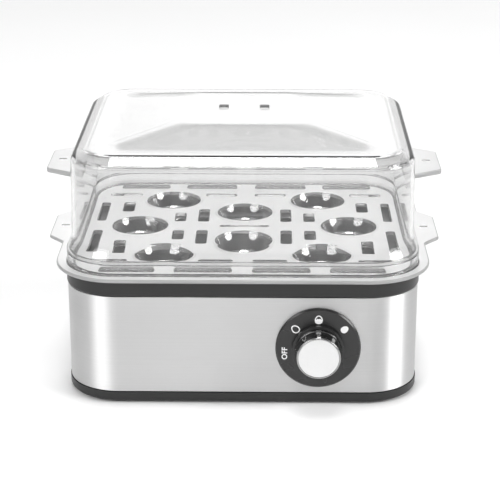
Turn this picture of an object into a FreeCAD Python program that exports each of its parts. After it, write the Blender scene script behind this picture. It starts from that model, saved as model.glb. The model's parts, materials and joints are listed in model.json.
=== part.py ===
import FreeCAD, Part
import math
import os
import Sketcher

# Electric egg cooker: a steel-banded base with a rotary control, a clear egg tray and a clear lid.
# Millimetres. X runs to the right, Y to the rear, Z up. The origin is on the surface the feet
# stand on, under the middle of the housing, and the control knob is on the front (-Y) wall.

Vector = FreeCAD.Vector
Rotation = FreeCAD.Rotation
Placement = FreeCAD.Placement

DIMENSIONS = {
    # Plan of the housing: a rounded rectangle that every shell follows at its own distance.
    "body_width": 211.0,
    "body_depth": 179.0,
    "corner_radius": 31.5,
    # Gaps around pins, screws, bushes and shells, and how far a cut runs past a face.
    "shaft_gap": 0.02,
    "snug_gap": 0.05,
    "close_gap": 0.1,
    "loose_gap": 0.2,
    "wide_gap": 0.3,
    "overlap": 1.0,
    # Levels of the stack, from the floor up.
    "cover_bottom": 1.0,
    "band_bottom": 7.8,
    "band_top": 68.3,
    "ring_top": 79.3,
    "plate_top": 81.6,
    "lid_bottom": 88.0,
    "lid_shoulder": 145.7,
    "rim_top": 151.0,
    "dome_top": 159.0,
    # Housing: bottom cover, steel band and top ring.
    "band_sheet": 0.6,
    "shadow_gap": 0.5,
    "overhang": 0.5,
    "cover_floor": 3.0,
    "cover_round": 2.2,
    "lip_height": 5.2,
    "lip_inset": 0.8,
    "lip_wall": 2.0,
    "ring_round": 1.6,
    "ring_edge": 0.7,
    "land_underside": 70.5,
    "shelf_level": 75.4,
    "recess_inset": 9.0,
    "opening_inset": 14.0,
    "air_slot_length": 36.0,
    "air_slot_width": 3.0,
    "air_slot_pitch": 7.0,
    # Screw posts stand on the diagonal of each corner.
    "post_reach": 23.0,
    "post_radius": 4.5,
    "post_foot": 10.0,
    "boss_wall": 0.6,
    "screw_radius": 1.75,
    "screw_length": 16.0,
    "head_radius": 3.6,
    "head_height": 2.6,
    "head_level": 2.2,
    "drive_radius": 1.7,
    "drive_depth": 1.3,
    # Feet.
    "foot_radius": 7.0,
    "foot_stem": 2.5,
    "foot_x": 68.0,
    "foot_y": 54.0,
    "bead_lip": 0.8,
    "bead_height": 1.4,
    # Water pan, its seal and the heater under it.
    "pan_sheet": 0.8,
    "seal_sheet": 0.8,
    "pan_floor": 62.0,
    "pan_inset": 15.0,
    "pan_round": 4.0,
    "element_ring": 50.0,
    "element_tube": 3.2,
    "element_sweep": 300.0,
    "element_leg": 15.0,
    "element_pin": 1.2,
    "element_pin_length": 8.0,
    "leg_gap": 1.2,
    "stud_circle": 32.0,
    "stud_radius": 2.0,
    "stud_end": 1.0,
    "clamp_radius": 58.0,
    "clamp_hole": 20.0,
    "clamp_sheet": 1.2,
    "nut_height": 3.2,
    "nut_radius": 4.04,
    # Boil-dry cut-out with its strip, and the one-shot fuse with its clip.
    "cutout_radius": 8.2,
    "cutout_below": 4.0,
    "cutout_above": 3.0,
    "cutout_cap": 7.0,
    "cutout_blade_x": 5.0,
    "cutout_blade": 9.0,
    "blade_sheet": 0.8,
    "blade_width": 6.3,
    "strip_sheet": 0.8,
    "strip_length": 52.0,
    "strip_width": 12.0,
    "strip_eye": 12.0,
    "fuse_y": 63.0,
    "fuse_drop": 2.6,
    "fuse_radius": 2.0,
    "fuse_length": 12.0,
    "wire_radius": 0.5,
    "wire_length": 28.0,
    "clip_width": 7.0,
    "clip_depth": 8.0,
    "clip_height": 5.4,
    # Control: regulator behind the band, dial plate and knob in front of it.
    "knob_x": 45.1,
    "knob_level": 37.0,
    "dial_radius": 25.25,
    "dial_thick": 2.0,
    "dial_bevel": 0.8,
    "bush_radius": 4.9,
    "bush_reach": 3.4,
    "bush_nut_radius": 8.1,
    "bush_nut_height": 2.6,
    "regulator_width": 32.0,
    "regulator_height": 28.0,
    "regulator_depth": 20.0,
    "blade_pitch": 9.0,
    "blade_length": 8.0,
    "shaft_radius": 3.0,
    "shaft_reach": 10.0,
    "shaft_tail": 15.0,
    "flat_level": 1.5,
    "flat_length": 6.0,
    "spring_sheet": 0.6,
    "spring_width": 3.8,
    "spring_length": 5.3,
    "knob_gap": 0.6,
    "knob_length": 14.0,
    "skirt_radius": 15.4,
    "skirt_thick": 2.5,
    "knob_rear_radius": 14.0,
    "knob_face_radius": 12.9,
    "knob_wall": 1.0,
    "knob_cavity": 10.2,
    "cavity_depth": 3.4,
    "pointer_radius": 1.1,
    "pointer_setback": 1.7,
    "pointer_depth": 0.7,
    "pointer_proud": 0.2,
    # Cord gland in the rear wall.
    "gland_level": 24.0,
    "gland_neck": 5.9,
    "gland_flange": 8.0,
    "gland_sheet": 2.5,
    "gland_step": 0.5,
    "cord_radius": 3.4,
    # Terminal block and sounder on the floor of the housing.
    "block_width": 36.0,
    "block_front": 52.0,
    "block_rear": 66.0,
    "block_height": 14.0,
    "way_pitch": 11.0,
    "way_radius": 2.0,
    "way_level": 6.0,
    "screw_way_radius": 2.2,
    "buzzer_x": -50.0,
    "buzzer_y": -20.0,
    "buzzer_radius": 12.0,
    "buzzer_height": 9.0,
    "buzzer_eye": 1.6,
    "buzzer_eye_depth": 4.0,
    # Egg tray.
    "tray_sheet": 2.2,
    "flange_reach": 6.4,
    "tray_wall": 3.2,
    "seat_inset": 1.9,
    "seat_height": 1.7,
    "tab_reach": 121.5,
    "tab_root": 30.0,
    "tray_tab_root": 37.5,
    "tab_end": 19.0,
    "tab_corner": 3.5,
    "cup_radius": 19.0,
    "cup_wall": 1.6,
    "cup_centre": 6.85,
    "cup_depth": 9.0,
    "middle_cup_y": 26.9,
    "side_cup_x": 66.3,
    "corner_cup_x": 47.7,
    "corner_cup_y": 50.8,
    "slot_corner": 1.5,
    "middle_slot_half_x": 15.3,
    "middle_slot_half_y": 1.3,
    "middle_slot_corner": 1.25,
    # Lid.
    "lid_wall": 2.0,
    "lid_foot_wall": 1.6,
    "flare_band": 1.6,
    "flare_height": 9.0,
    "flare_inset": 3.4,
    "shoulder_inset": 4.3,
    "rim_inset": 13.0,
    "dome_inset": 25.3,
    "dome_corner": 12.2,
    "plateau_half": 38.5,
    "plateau_corner": 5.7,
    "lid_tab_level": 124.0,
    "lid_tab_thick": 3.0,
    "vent_x": 12.6,
    "vent_y": 2.45,
    "vent_half_x": 2.6,
    "vent_half_y": 4.65,
    "vent_corner": 1.0,
}

# Centres, widths (X) and lengths (Y) of the steam slots in the tray: each family is repeated in
# all four quarters of the plate.
SLOT_FAMILIES = {
    "end_slot": (76.3, 37.1, 6.8, 18.0),
    "mid_slot": (41.3, 17.1, 6.5, 16.0),
    "inner_slot": (26.4, 20.7, 6.4, 24.0),
    "side_slot": (92.8, 27.5, 5.8, 36.0),
    "corner_slot": (80.2, 62.2, 21.0, 4.5),
    "row_slot": (16.3, 62.2, 20.0, 4.5),
}

QUARTERS = ((1, 1), (-1, 1), (-1, -1), (1, -1))

# Where the clamp's studs and the two ends of the heater stand, in degrees round the centre line.
STUD_ANGLES = (30, 150, 270)
HEATER_END_ANGLES = (60, 120)

# Levels or distances closer together than this are taken as the same.
SAME = 0.01

doc = FreeCAD.newDocument("egg_cooker")
dims = doc.addObject("Spreadsheet::Sheet", "dims")
nodes = []


def fill_sheet():
    """Put every driving dimension in a cell of its own, named by its alias."""
    rows = dict(DIMENSIONS)
    for family, sizes in SLOT_FAMILIES.items():
        for part, number in zip(("x", "y", "width", "length"), sizes):
            rows[family + "_" + part] = number
    for row, (alias, number) in enumerate(rows.items(), 1):
        dims.set("A%d" % row, alias)
        dims.set("B%d" % row, str(number))
        dims.setAlias("B%d" % row, alias)
    doc.recompute()


def bind(thing, formulas):
    for name, formula in formulas.items():
        thing.setExpression(name, formula)


def value(thing, formula):
    """The plain number that a formula over the sheet gives."""
    result = thing.evalExpression(formula)
    return float(getattr(result, "Value", result))


def node(thing, label):
    """Name a finished sub-part and keep it for export."""
    thing.Label = label
    nodes.append(thing)
    return thing


# ---- Sketches and PartDesign features ------------------------------------------------------


def new_body(label):
    body = doc.addObject("PartDesign::Body", label.title().replace("_", ""))
    return node(body, label)


def flat_sketch(body, name, level):
    """A sketch on the body's own XY plane, raised by the formula level."""
    plane = next(item for item in body.Origin.OriginFeatures if item.Role == "XY_Plane")
    sketch = body.newObject("Sketcher::SketchObject", name)
    sketch.AttachmentSupport = (plane, [""])
    sketch.MapMode = "FlatFace"
    sketch.setExpression("AttachmentOffset.Base.z", level)
    return sketch


def hold(sketch, kind, geometry, point, side, formula):
    """Keep one point of a sketch at a distance from the origin, on the side given by its sign."""
    number = value(sketch, formula)
    ends = (-1, 1, geometry, point) if side > 0 else (geometry, point, -1, 1)
    index = sketch.addConstraint(Sketcher.Constraint(kind, *ends, number))
    sketch.setExpression("Constraints[%d]" % index, formula)


def rounded_box(sketch, left, right, front, rear, radius):
    """Add a rounded rectangle. Each side is a pair: its sign and the formula of its distance."""
    low_x, high_x, low_y, high_y = (side * value(sketch, text) for side, text in (left, right, front, rear))
    bend = value(sketch, radius)
    base = sketch.GeometryCount
    inner = {"l": low_x + bend, "r": high_x - bend, "f": low_y + bend, "b": high_y - bend}
    runs = (
        ((high_x, inner["f"]), (high_x, inner["b"]), (inner["r"], inner["b"])),
        ((inner["r"], high_y), (inner["l"], high_y), (inner["l"], inner["b"])),
        ((low_x, inner["b"]), (low_x, inner["f"]), (inner["l"], inner["f"])),
        ((inner["l"], low_y), (inner["r"], low_y), (inner["r"], inner["f"])),
    )
    for turn, (start, end, centre) in enumerate(runs):
        sketch.addGeometry(Part.LineSegment(Vector(*start, 0), Vector(*end, 0)), False)
        circle = Part.Circle(Vector(*centre, 0), Vector(0, 0, 1), bend)
        sketch.addGeometry(Part.ArcOfCircle(circle, turn * math.pi / 2, (turn + 1) * math.pi / 2), False)
    for step in range(8):
        sketch.addConstraint(Sketcher.Constraint("Tangent", base + step, 2, base + (step + 1) % 8, 1))
    for line, kind in ((0, "Vertical"), (2, "Horizontal"), (4, "Vertical"), (6, "Horizontal")):
        sketch.addConstraint(Sketcher.Constraint(kind, base + line))
    for arc in (3, 5, 7):
        sketch.addConstraint(Sketcher.Constraint("Equal", base + 1, base + arc))
    index = sketch.addConstraint(Sketcher.Constraint("Radius", base + 1, bend))
    sketch.setExpression("Constraints[%d]" % index, radius)
    hold(sketch, "DistanceX", base, 1, right[0], right[1])
    hold(sketch, "DistanceX", base + 4, 1, left[0], left[1])
    hold(sketch, "DistanceY", base + 2, 1, rear[0], rear[1])
    hold(sketch, "DistanceY", base + 6, 1, front[0], front[1])


def centred_box(body, name, level, half_x, half_y, radius):
    sketch = flat_sketch(body, name, level)
    rounded_box(sketch, (-1, half_x), (1, half_x), (-1, half_y), (1, half_y), radius)
    return sketch


def plan(body, name, level, grow):
    """The housing's plan, moved outwards by the formula grow."""
    half_x = "dims.body_width / 2 + (%s)" % grow
    half_y = "dims.body_depth / 2 + (%s)" % grow
    return centred_box(body, name, level, half_x, half_y, "dims.corner_radius + (%s)" % grow)


def feature(body, kind, name, profile, formulas):
    made = body.newObject("PartDesign::" + kind, name)
    made.Profile = profile
    bind(made, formulas)
    return made


def slab(body, name, bottom, top, grow):
    """Add the plan as a solid between two levels."""
    sketch = plan(body, name + "Plan", bottom, grow)
    return feature(body, "Pad", name, sketch, {"Length": "(%s) - (%s)" % (top, bottom)})


def hollow(body, name, bottom, top, grow):
    """Take the plan away between two levels."""
    sketch = plan(body, name + "Plan", top, grow)
    return feature(body, "Pocket", name, sketch, {"Length": "(%s) - (%s)" % (top, bottom)})


def plan_distance(point):
    """How far a point lies outside the housing's plan."""
    over_x = abs(point.x) - (dims.body_width / 2 - dims.corner_radius)
    over_y = abs(point.y) - (dims.body_depth / 2 - dims.corner_radius)
    reach = math.hypot(over_x, over_y) if min(over_x, over_y) > 0 else max(over_x, over_y)
    return reach - dims.corner_radius


def dress(body, kind, name, chosen, prop, formula):
    """Round or chamfer the edges of the body's last feature that pass the test chosen."""
    doc.recompute()
    base = body.Tip
    names = []
    for index, edge in enumerate(base.Shape.Edges, 1):
        middle = edge.valueAt((edge.FirstParameter + edge.LastParameter) / 2)
        if chosen(edge, middle):
            names.append("Edge%d" % index)
    made = body.newObject("PartDesign::" + kind, name)
    made.Base = (base, names)
    made.setExpression(prop, formula)
    return made


def round_outline(body, name, level, grow, radius):
    """Round every edge that follows the plan at one level and distance."""
    height = value(body, level)
    distance = value(body, grow)

    def on_outline(edge, middle):
        flat = all(abs(vertex.Z - height) < SAME for vertex in edge.Vertexes)
        level_too = abs(middle.z - height) < SAME
        return flat and level_too and abs(plan_distance(middle) - distance) < 2 * SAME

    return dress(body, "Fillet", name, on_outline, "Radius", radius)


def polygon(body, name, level, corners):
    """Straight-sided closed outlines; each corner is (side x, formula x, side y, formula y)."""
    sketch = flat_sketch(body, name, level)
    for outline in corners:
        base = sketch.GeometryCount
        points = [Vector(sx * value(sketch, fx), sy * value(sketch, fy), 0) for sx, fx, sy, fy in outline]
        for start, end in zip(points, points[1:] + points[:1]):
            sketch.addGeometry(Part.LineSegment(start, end), False)
        count = len(points)
        for step in range(count):
            follower = base + (step + 1) % count
            sketch.addConstraint(Sketcher.Constraint("Coincident", base + step, 2, follower, 1))
        for step, (side_x, text_x, side_y, text_y) in enumerate(outline):
            hold(sketch, "DistanceX", base + step, 1, side_x, text_x)
            hold(sketch, "DistanceY", base + step, 1, side_y, text_y)
    return sketch


def solid_in(body, kind, name, formulas, turn=0):
    """A PartDesign primitive placed by formulas; turn tips its axis about X, in degrees."""
    made = body.newObject("PartDesign::" + kind, name)
    made.Placement = Placement(Vector(), Rotation(Vector(1, 0, 0), turn))
    bind(made, formulas)
    return made


def rod_in(body, kind, name, radius, bottom, top, x="0", y="0"):
    """An upright cylinder between two levels, added to or taken from a body."""
    return solid_in(body, kind, name, {
        "Radius": radius,
        "Height": "(%s) - (%s)" % (top, bottom),
        "Placement.Base.x": x,
        "Placement.Base.y": y,
        "Placement.Base.z": bottom,
    })


def block_in(body, kind, name, low, high):
    """An upright box between two corners given as formulas."""
    formulas = {}
    for prop, axis, start, end in zip(("Length", "Width", "Height"), "xyz", low, high):
        formulas[prop] = "(%s) - (%s)" % (end, start)
        formulas["Placement.Base." + axis] = start
    return solid_in(body, kind, name, formulas)


def bore_in(body, kind, name, radius, front, rear, x, z):
    """A cylinder along Y between two depths, added to or taken from a body."""
    return solid_in(body, kind, name, {
        "Radius": radius,
        "Height": "(%s) - (%s)" % (rear, front),
        "Placement.Base.x": x,
        "Placement.Base.y": front,
        "Placement.Base.z": z,
    }, turn=-90)


# ---- Part primitives -------------------------------------------------------------------------


def primitive(kind, name, formulas, turn=0):
    made = doc.addObject("Part::" + kind, name)
    made.Placement = Placement(Vector(), Rotation(Vector(1, 0, 0), turn))
    bind(made, formulas)
    return made


def rod(name, radius, bottom, top, x="0", y="0"):
    """An upright cylinder between two levels."""
    return primitive("Cylinder", name, {
        "Radius": radius,
        "Height": "(%s) - (%s)" % (top, bottom),
        "Placement.Base.x": x,
        "Placement.Base.y": y,
        "Placement.Base.z": bottom,
    })


def pin(name, radius, front, rear, x="dims.knob_x", z="dims.knob_level"):
    """A cylinder along Y between two depths, on the knob's axis unless told otherwise."""
    return primitive("Cylinder", name, {
        "Radius": radius,
        "Height": "(%s) - (%s)" % (rear, front),
        "Placement.Base.x": x,
        "Placement.Base.y": front,
        "Placement.Base.z": z,
    }, turn=-90)


def taper(name, front_radius, rear_radius, front, rear):
    """A cone along Y on the knob's axis."""
    return primitive("Cone", name, {
        "Radius1": front_radius,
        "Radius2": rear_radius,
        "Height": "(%s) - (%s)" % (rear, front),
        "Placement.Base.x": "dims.knob_x",
        "Placement.Base.y": front,
        "Placement.Base.z": "dims.knob_level",
    }, turn=-90)


def block(name, low, high):
    formulas = {}
    for prop, axis, start, end in zip(("Length", "Width", "Height"), "xyz", low, high):
        formulas[prop] = "(%s) - (%s)" % (end, start)
        formulas["Placement.Base." + axis] = start
    return primitive("Box", name, formulas)


def hexagon(name, radius, bottom, top, x, y):
    """An upright hexagonal prism given by its corner radius."""
    return primitive("Prism", name, {
        "Circumradius": radius,
        "Height": "(%s) - (%s)" % (top, bottom),
        "Placement.Base.x": x,
        "Placement.Base.y": y,
        "Placement.Base.z": bottom,
    })


def fused(name, pieces):
    made = doc.addObject("Part::MultiFuse", name)
    made.Shapes = pieces
    made.Refine = True
    return made


def less(name, base, tool):
    made = doc.addObject("Part::Cut", name)
    made.Base = base
    made.Tool = tool
    made.Refine = True
    return made


def group(name, pieces):
    made = doc.addObject("Part::Compound", name)
    made.Links = pieces
    return made


# ---- Housing -----------------------------------------------------------------------------------

BAND_FRONT = "-dims.body_depth / 2"
BAND_REAR = "dims.body_depth / 2"
POST_X = "dims.body_width / 2 - dims.corner_radius + dims.post_reach * cos(45)"
POST_Y = "dims.body_depth / 2 - dims.corner_radius + dims.post_reach * sin(45)"
COVER_TOP = "dims.band_bottom - dims.shadow_gap"
LIP_TOP = "dims.band_bottom + dims.lip_height"
LIP_OUT = "-dims.lip_inset"
LIP_IN = "-dims.lip_inset - dims.lip_wall"
HEAD_SEAT = "dims.head_level + dims.head_height"
PILOT_END = HEAD_SEAT + " + dims.screw_length + dims.overlap"


def signed(side, formula):
    return "%d * (%s)" % (side, formula)


def make_bottom_cover():
    """Black floor of the housing, with a lip inside the band, screw bosses and air slots."""
    body = new_body("bottom_cover")
    floor = "dims.cover_bottom + dims.cover_floor"
    slab(body, "CoverRim", "dims.cover_bottom", COVER_TOP, "dims.overhang")
    round_outline(body, "CoverRound", "dims.cover_bottom", "dims.overhang", "dims.cover_round")
    slab(body, "CoverLip", COVER_TOP, LIP_TOP, LIP_OUT)
    hollow(body, "CoverInside", floor, LIP_TOP, LIP_IN)
    for turn, (side_x, side_y) in enumerate(QUARTERS):
        at = {"x": signed(side_x, POST_X), "y": signed(side_y, POST_Y)}
        foot = {"x": signed(side_x, "dims.foot_x"), "y": signed(side_y, "dims.foot_y")}
        tag = str(turn)
        rod_in(body, "AdditiveCylinder", "Boss" + tag, "dims.post_radius + dims.boss_wall",
               floor, "dims.post_foot", **at)
        rod_in(body, "SubtractiveCylinder", "Sink" + tag, "dims.head_radius + dims.wide_gap",
               "dims.cover_bottom", HEAD_SEAT, **at)
        rod_in(body, "SubtractiveCylinder", "Way" + tag, "dims.screw_radius + dims.loose_gap",
               HEAD_SEAT, "dims.post_foot", **at)
        rod_in(body, "SubtractiveCylinder", "Eye" + tag, "dims.foot_stem",
               "dims.cover_bottom", floor, **foot)
    for step in range(-2, 3):
        middle = "%d * dims.air_slot_pitch" % step
        low = ("-dims.air_slot_length / 2", middle + " - dims.air_slot_width / 2", "dims.cover_bottom")
        high = ("dims.air_slot_length / 2", middle + " + dims.air_slot_width / 2", floor)
        block_in(body, "SubtractiveBox", "AirSlot%d" % (step + 2), low, high)


def make_housing_band():
    """Brushed steel band round the housing, pierced for the control bush and the cord gland."""
    body = new_body("housing_band")
    slab(body, "Band", "dims.band_bottom", "dims.band_top", "0")
    hollow(body, "BandInside", "dims.band_bottom", "dims.band_top", "-dims.band_sheet")
    bore_in(body, "SubtractiveCylinder", "ControlHole", "dims.bush_radius + dims.close_gap",
            BAND_FRONT + " - dims.overlap", BAND_FRONT + " + dims.overlap",
            "dims.knob_x", "dims.knob_level")
    bore_in(body, "SubtractiveCylinder", "GlandHole", "dims.gland_neck + dims.close_gap",
            BAND_REAR + " - dims.overlap", BAND_REAR + " + dims.overlap", "0", "dims.gland_level")


def make_top_ring():
    """Black ring that closes the band at the top, carries the pan and has the screw posts."""
    body = new_body("top_ring")
    lip_bottom = "dims.band_top - dims.lip_height"
    slab(body, "RingWall", "dims.band_top", "dims.ring_top", "dims.overhang")
    round_outline(body, "RingFoot", "dims.band_top", "dims.overhang", "dims.ring_round")
    round_outline(body, "RingHead", "dims.ring_top", "dims.overhang", "dims.ring_edge")
    slab(body, "RingLip", lip_bottom, "dims.band_top", LIP_OUT)
    hollow(body, "Under", lip_bottom, "dims.land_underside", LIP_IN)
    hollow(body, "Recess", "dims.shelf_level", "dims.ring_top", "-dims.recess_inset")
    hollow(body, "Opening", "dims.land_underside", "dims.shelf_level", "-dims.opening_inset")
    for turn, (side_x, side_y) in enumerate(QUARTERS):
        at = {"x": signed(side_x, POST_X), "y": signed(side_y, POST_Y)}
        rod_in(body, "AdditiveCylinder", "Post%d" % turn, "dims.post_radius",
               "dims.post_foot", "dims.land_underside + dims.overlap", **at)
        rod_in(body, "SubtractiveCylinder", "Pilot%d" % turn, "dims.screw_radius + dims.snug_gap",
               "dims.post_foot", PILOT_END, **at)


def make_cover_screws():
    """Four screws that go up through the cover into the posts of the top ring."""
    screws = []
    for turn, (side_x, side_y) in enumerate(QUARTERS):
        at = {"x": signed(side_x, POST_X), "y": signed(side_y, POST_Y)}
        head = rod("ScrewHead%d" % turn, "dims.head_radius", "dims.head_level", HEAD_SEAT, **at)
        drive = hexagon("ScrewDrive%d" % turn, "dims.drive_radius", "dims.head_level",
                        "dims.head_level + dims.drive_depth", **at)
        shank = rod("ScrewShank%d" % turn, "dims.screw_radius", HEAD_SEAT,
                    HEAD_SEAT + " + dims.screw_length", **at)
        whole = fused("ScrewWhole%d" % turn, [head, shank])
        screws.append(less("Screw%d" % turn, whole, drive))
    node(group("CoverScrews", screws), "cover_screws")


def make_feet():
    """Four rubber feet, each held by a stem pressed through the cover."""
    names = ("foot_rear_right", "foot_rear_left", "foot_front_left", "foot_front_right")
    for label, (side_x, side_y) in zip(names, QUARTERS):
        at = {"x": signed(side_x, "dims.foot_x"), "y": signed(side_y, "dims.foot_y")}
        tag = label.title().replace("_", "")
        floor = "dims.cover_bottom + dims.cover_floor"
        pad = rod(tag + "Pad", "dims.foot_radius", "0", "dims.cover_bottom", **at)
        stem = rod(tag + "Stem", "dims.foot_stem - dims.snug_gap", "dims.cover_bottom", floor, **at)
        bead = rod(tag + "Bead", "dims.foot_stem + dims.bead_lip", floor,
                   floor + " + dims.bead_height", **at)
        node(fused(tag, [pad, stem, bead]), label)


# ---- Water pan and heater ------------------------------------------------------------------

PAN_UNDER = "dims.pan_floor - dims.pan_sheet"
PAN_FLANGE = "dims.shelf_level + dims.seal_sheet"
CLAMP_TOP = PAN_UNDER + " - 2 * dims.element_tube - 2 * dims.close_gap"
CLAMP_UNDER = CLAMP_TOP + " - dims.clamp_sheet"


def around(circle, angle):
    """Formulas of a point on a circle about the housing's centre line."""
    return {"x": "%s * cos(%d)" % (circle, angle), "y": "%s * sin(%d)" % (circle, angle)}


STUDS = [around("dims.stud_circle", angle) for angle in STUD_ANGLES]
ELEMENT_ENDS = [around("dims.element_ring", angle) for angle in HEATER_END_ANGLES]


def make_heating_plate():
    """Pressed stainless water pan: a flange on the seal, a flat floor and three welded studs."""
    body = new_body("heating_plate")
    brim = PAN_FLANGE + " + dims.pan_sheet"
    slab(body, "PanFlange", PAN_FLANGE, brim, "-dims.recess_inset - dims.wide_gap")
    slab(body, "PanTub", PAN_UNDER, PAN_FLANGE, "-dims.pan_inset")
    hollow(body, "PanInside", "dims.pan_floor", brim, "-dims.pan_inset - dims.pan_sheet")
    round_outline(body, "PanInnerRound", "dims.pan_floor", "-dims.pan_inset - dims.pan_sheet",
                  "dims.pan_round - dims.pan_sheet")
    round_outline(body, "PanRound", PAN_UNDER, "-dims.pan_inset", "dims.pan_round")
    for turn, at in enumerate(STUDS):
        rod_in(body, "AdditiveCylinder", "Stud%d" % turn, "dims.stud_radius",
               CLAMP_UNDER + " - dims.nut_height - dims.stud_end", PAN_UNDER, **at)


def make_pan_seal():
    """Flat silicone gasket between the pan's flange and the top ring."""
    body = new_body("pan_seal")
    slab(body, "Seal", "dims.shelf_level", PAN_FLANGE, "-dims.recess_inset - dims.wide_gap")
    hollow(body, "SealOpening", "dims.shelf_level", PAN_FLANGE, "-dims.opening_inset")


def make_heating_element():
    """Tubular heater: an open ring under the pan with both ends turned down to their pins."""
    level = PAN_UNDER + " - dims.element_tube - dims.close_gap"
    leg_end = level + " - dims.element_leg"
    ring = doc.addObject("Part::Torus", "ElementRing")
    ring.Placement = Placement(Vector(), Rotation(Vector(0, 0, 1), HEATER_END_ANGLES[1]))
    bind(ring, {
        "Radius1": "dims.element_ring",
        "Radius2": "dims.element_tube",
        "Angle3": "dims.element_sweep",
        "Placement.Base.z": level,
    })
    pieces = [ring]
    for turn, at in enumerate(ELEMENT_ENDS):
        elbow = primitive("Sphere", "ElementElbow%d" % turn, {
            "Radius": "dims.element_tube",
            "Placement.Base.x": at["x"],
            "Placement.Base.y": at["y"],
            "Placement.Base.z": level,
        })
        leg = rod("ElementLeg%d" % turn, "dims.element_tube", leg_end, level, **at)
        tip = rod("ElementPin%d" % turn, "dims.element_pin",
                  leg_end + " - dims.element_pin_length", leg_end, **at)
        pieces += [elbow, leg, tip]
    node(fused("HeatingElement", pieces), "heating_element")


def make_element_clamp():
    """Steel disc that presses the element against the pan."""
    body = new_body("element_clamp")
    rod_in(body, "AdditiveCylinder", "ClampDisc", "dims.clamp_radius", CLAMP_UNDER, CLAMP_TOP)
    rod_in(body, "SubtractiveCylinder", "ClampEye", "dims.clamp_hole", CLAMP_UNDER, CLAMP_TOP)
    for turn, at in enumerate(STUDS):
        rod_in(body, "SubtractiveCylinder", "StudHole%d" % turn, "dims.stud_radius + dims.loose_gap",
               CLAMP_UNDER, CLAMP_TOP, **at)
    for turn, at in enumerate(ELEMENT_ENDS):
        rod_in(body, "SubtractiveCylinder", "LegHole%d" % turn, "dims.element_tube + dims.leg_gap",
               CLAMP_UNDER, CLAMP_TOP, **at)


def make_clamp_nuts():
    nuts = []
    bottom = CLAMP_UNDER + " - dims.nut_height"
    for turn, at in enumerate(STUDS):
        blank = hexagon("NutBlank%d" % turn, "dims.nut_radius", bottom, CLAMP_UNDER, **at)
        hole = rod("NutHole%d" % turn, "dims.stud_radius + dims.snug_gap", bottom, CLAMP_UNDER, **at)
        nuts.append(less("Nut%d" % turn, blank, hole))
    node(group("ClampNuts", nuts), "clamp_nuts")


def make_thermostat():
    """Boil-dry cut-out pressed against the middle of the pan, with two blade terminals."""
    case_bottom = CLAMP_UNDER + " - dims.cutout_below"
    case_top = CLAMP_UNDER + " + dims.cutout_above"
    case = rod("ThermostatCase", "dims.cutout_radius", case_bottom, case_top)
    cap = rod("ThermostatCap", "dims.cutout_cap", case_top, PAN_UNDER + " - dims.close_gap")
    pieces = [case, cap]
    for side in (-1, 1):
        middle = "%d * dims.cutout_blade_x" % side
        low = (middle + " - dims.blade_sheet / 2", "-dims.blade_width / 2",
               case_bottom + " - dims.cutout_blade")
        high = (middle + " + dims.blade_sheet / 2", "dims.blade_width / 2", case_bottom)
        pieces.append(block("ThermostatBlade%d" % (side + 1), low, high))
    node(fused("Thermostat", pieces), "thermostat")


def make_thermostat_bracket():
    """Spring strip across the hole of the clamp that holds the cut-out up."""
    under = CLAMP_UNDER + " - dims.strip_sheet"
    low = ("-dims.strip_length / 2", "-dims.strip_width / 2", under)
    high = ("dims.strip_length / 2", "dims.strip_width / 2", CLAMP_UNDER)
    strip = block("BracketStrip", low, high)
    eye = rod("BracketEye", "dims.strip_eye", under, CLAMP_UNDER)
    hole = rod("BracketHole", "dims.cutout_radius + dims.close_gap", under, CLAMP_UNDER)
    node(less("ThermostatBracket", fused("BracketBlank", [strip, eye]), hole), "thermostat_bracket")


def fuse_rod(name, radius, length):
    """A cylinder along X on the fuse's axis."""
    made = doc.addObject("Part::Cylinder", name)
    made.Placement = Placement(Vector(), Rotation(Vector(0, 1, 0), 90))
    bind(made, {
        "Radius": radius,
        "Height": length,
        "Placement.Base.x": "-(%s) / 2" % length,
        "Placement.Base.y": "dims.fuse_y",
        "Placement.Base.z": PAN_UNDER + " - dims.fuse_drop",
    })
    return made


def make_thermal_fuse():
    """One-shot fuse lying along X under the pan, with a wire at each end."""
    case = fuse_rod("FuseCase", "dims.fuse_radius", "dims.fuse_length")
    wire = fuse_rod("FuseWire", "dims.wire_radius", "dims.wire_length")
    node(fused("ThermalFuse", [case, wire]), "thermal_fuse")


def make_fuse_clip():
    """Clip that holds the fuse to the underside of the pan."""
    low = ("-dims.clip_width / 2", "dims.fuse_y - dims.clip_depth / 2", PAN_UNDER + " - dims.clip_height")
    high = ("dims.clip_width / 2", "dims.fuse_y + dims.clip_depth / 2", PAN_UNDER)
    hole = fuse_rod("ClipHole", "dims.fuse_radius + dims.snug_gap", "dims.clip_width + dims.overlap")
    node(less("FuseClip", block("ClipBlank", low, high), hole), "fuse_clip")


# ---- Control -------------------------------------------------------------------------------

BAND_BACK = BAND_FRONT + " + dims.band_sheet"
DIAL_FRONT = BAND_FRONT + " - dims.dial_thick"
KNOB_REAR = DIAL_FRONT + " - dims.knob_gap"
KNOB_FACE = KNOB_REAR + " - dims.knob_length"
CAP_REAR = KNOB_REAR + " - dims.skirt_thick"
NUT_FRONT = DIAL_FRONT + " - dims.bush_nut_height"
BUSH_FRONT = DIAL_FRONT + " - dims.bush_reach"
REGULATOR_REAR = BAND_BACK + " + dims.regulator_depth"
SHAFT_FRONT = KNOB_REAR + " - dims.shaft_reach"
SHAFT_REAR = BAND_BACK + " + dims.shaft_tail"


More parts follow.
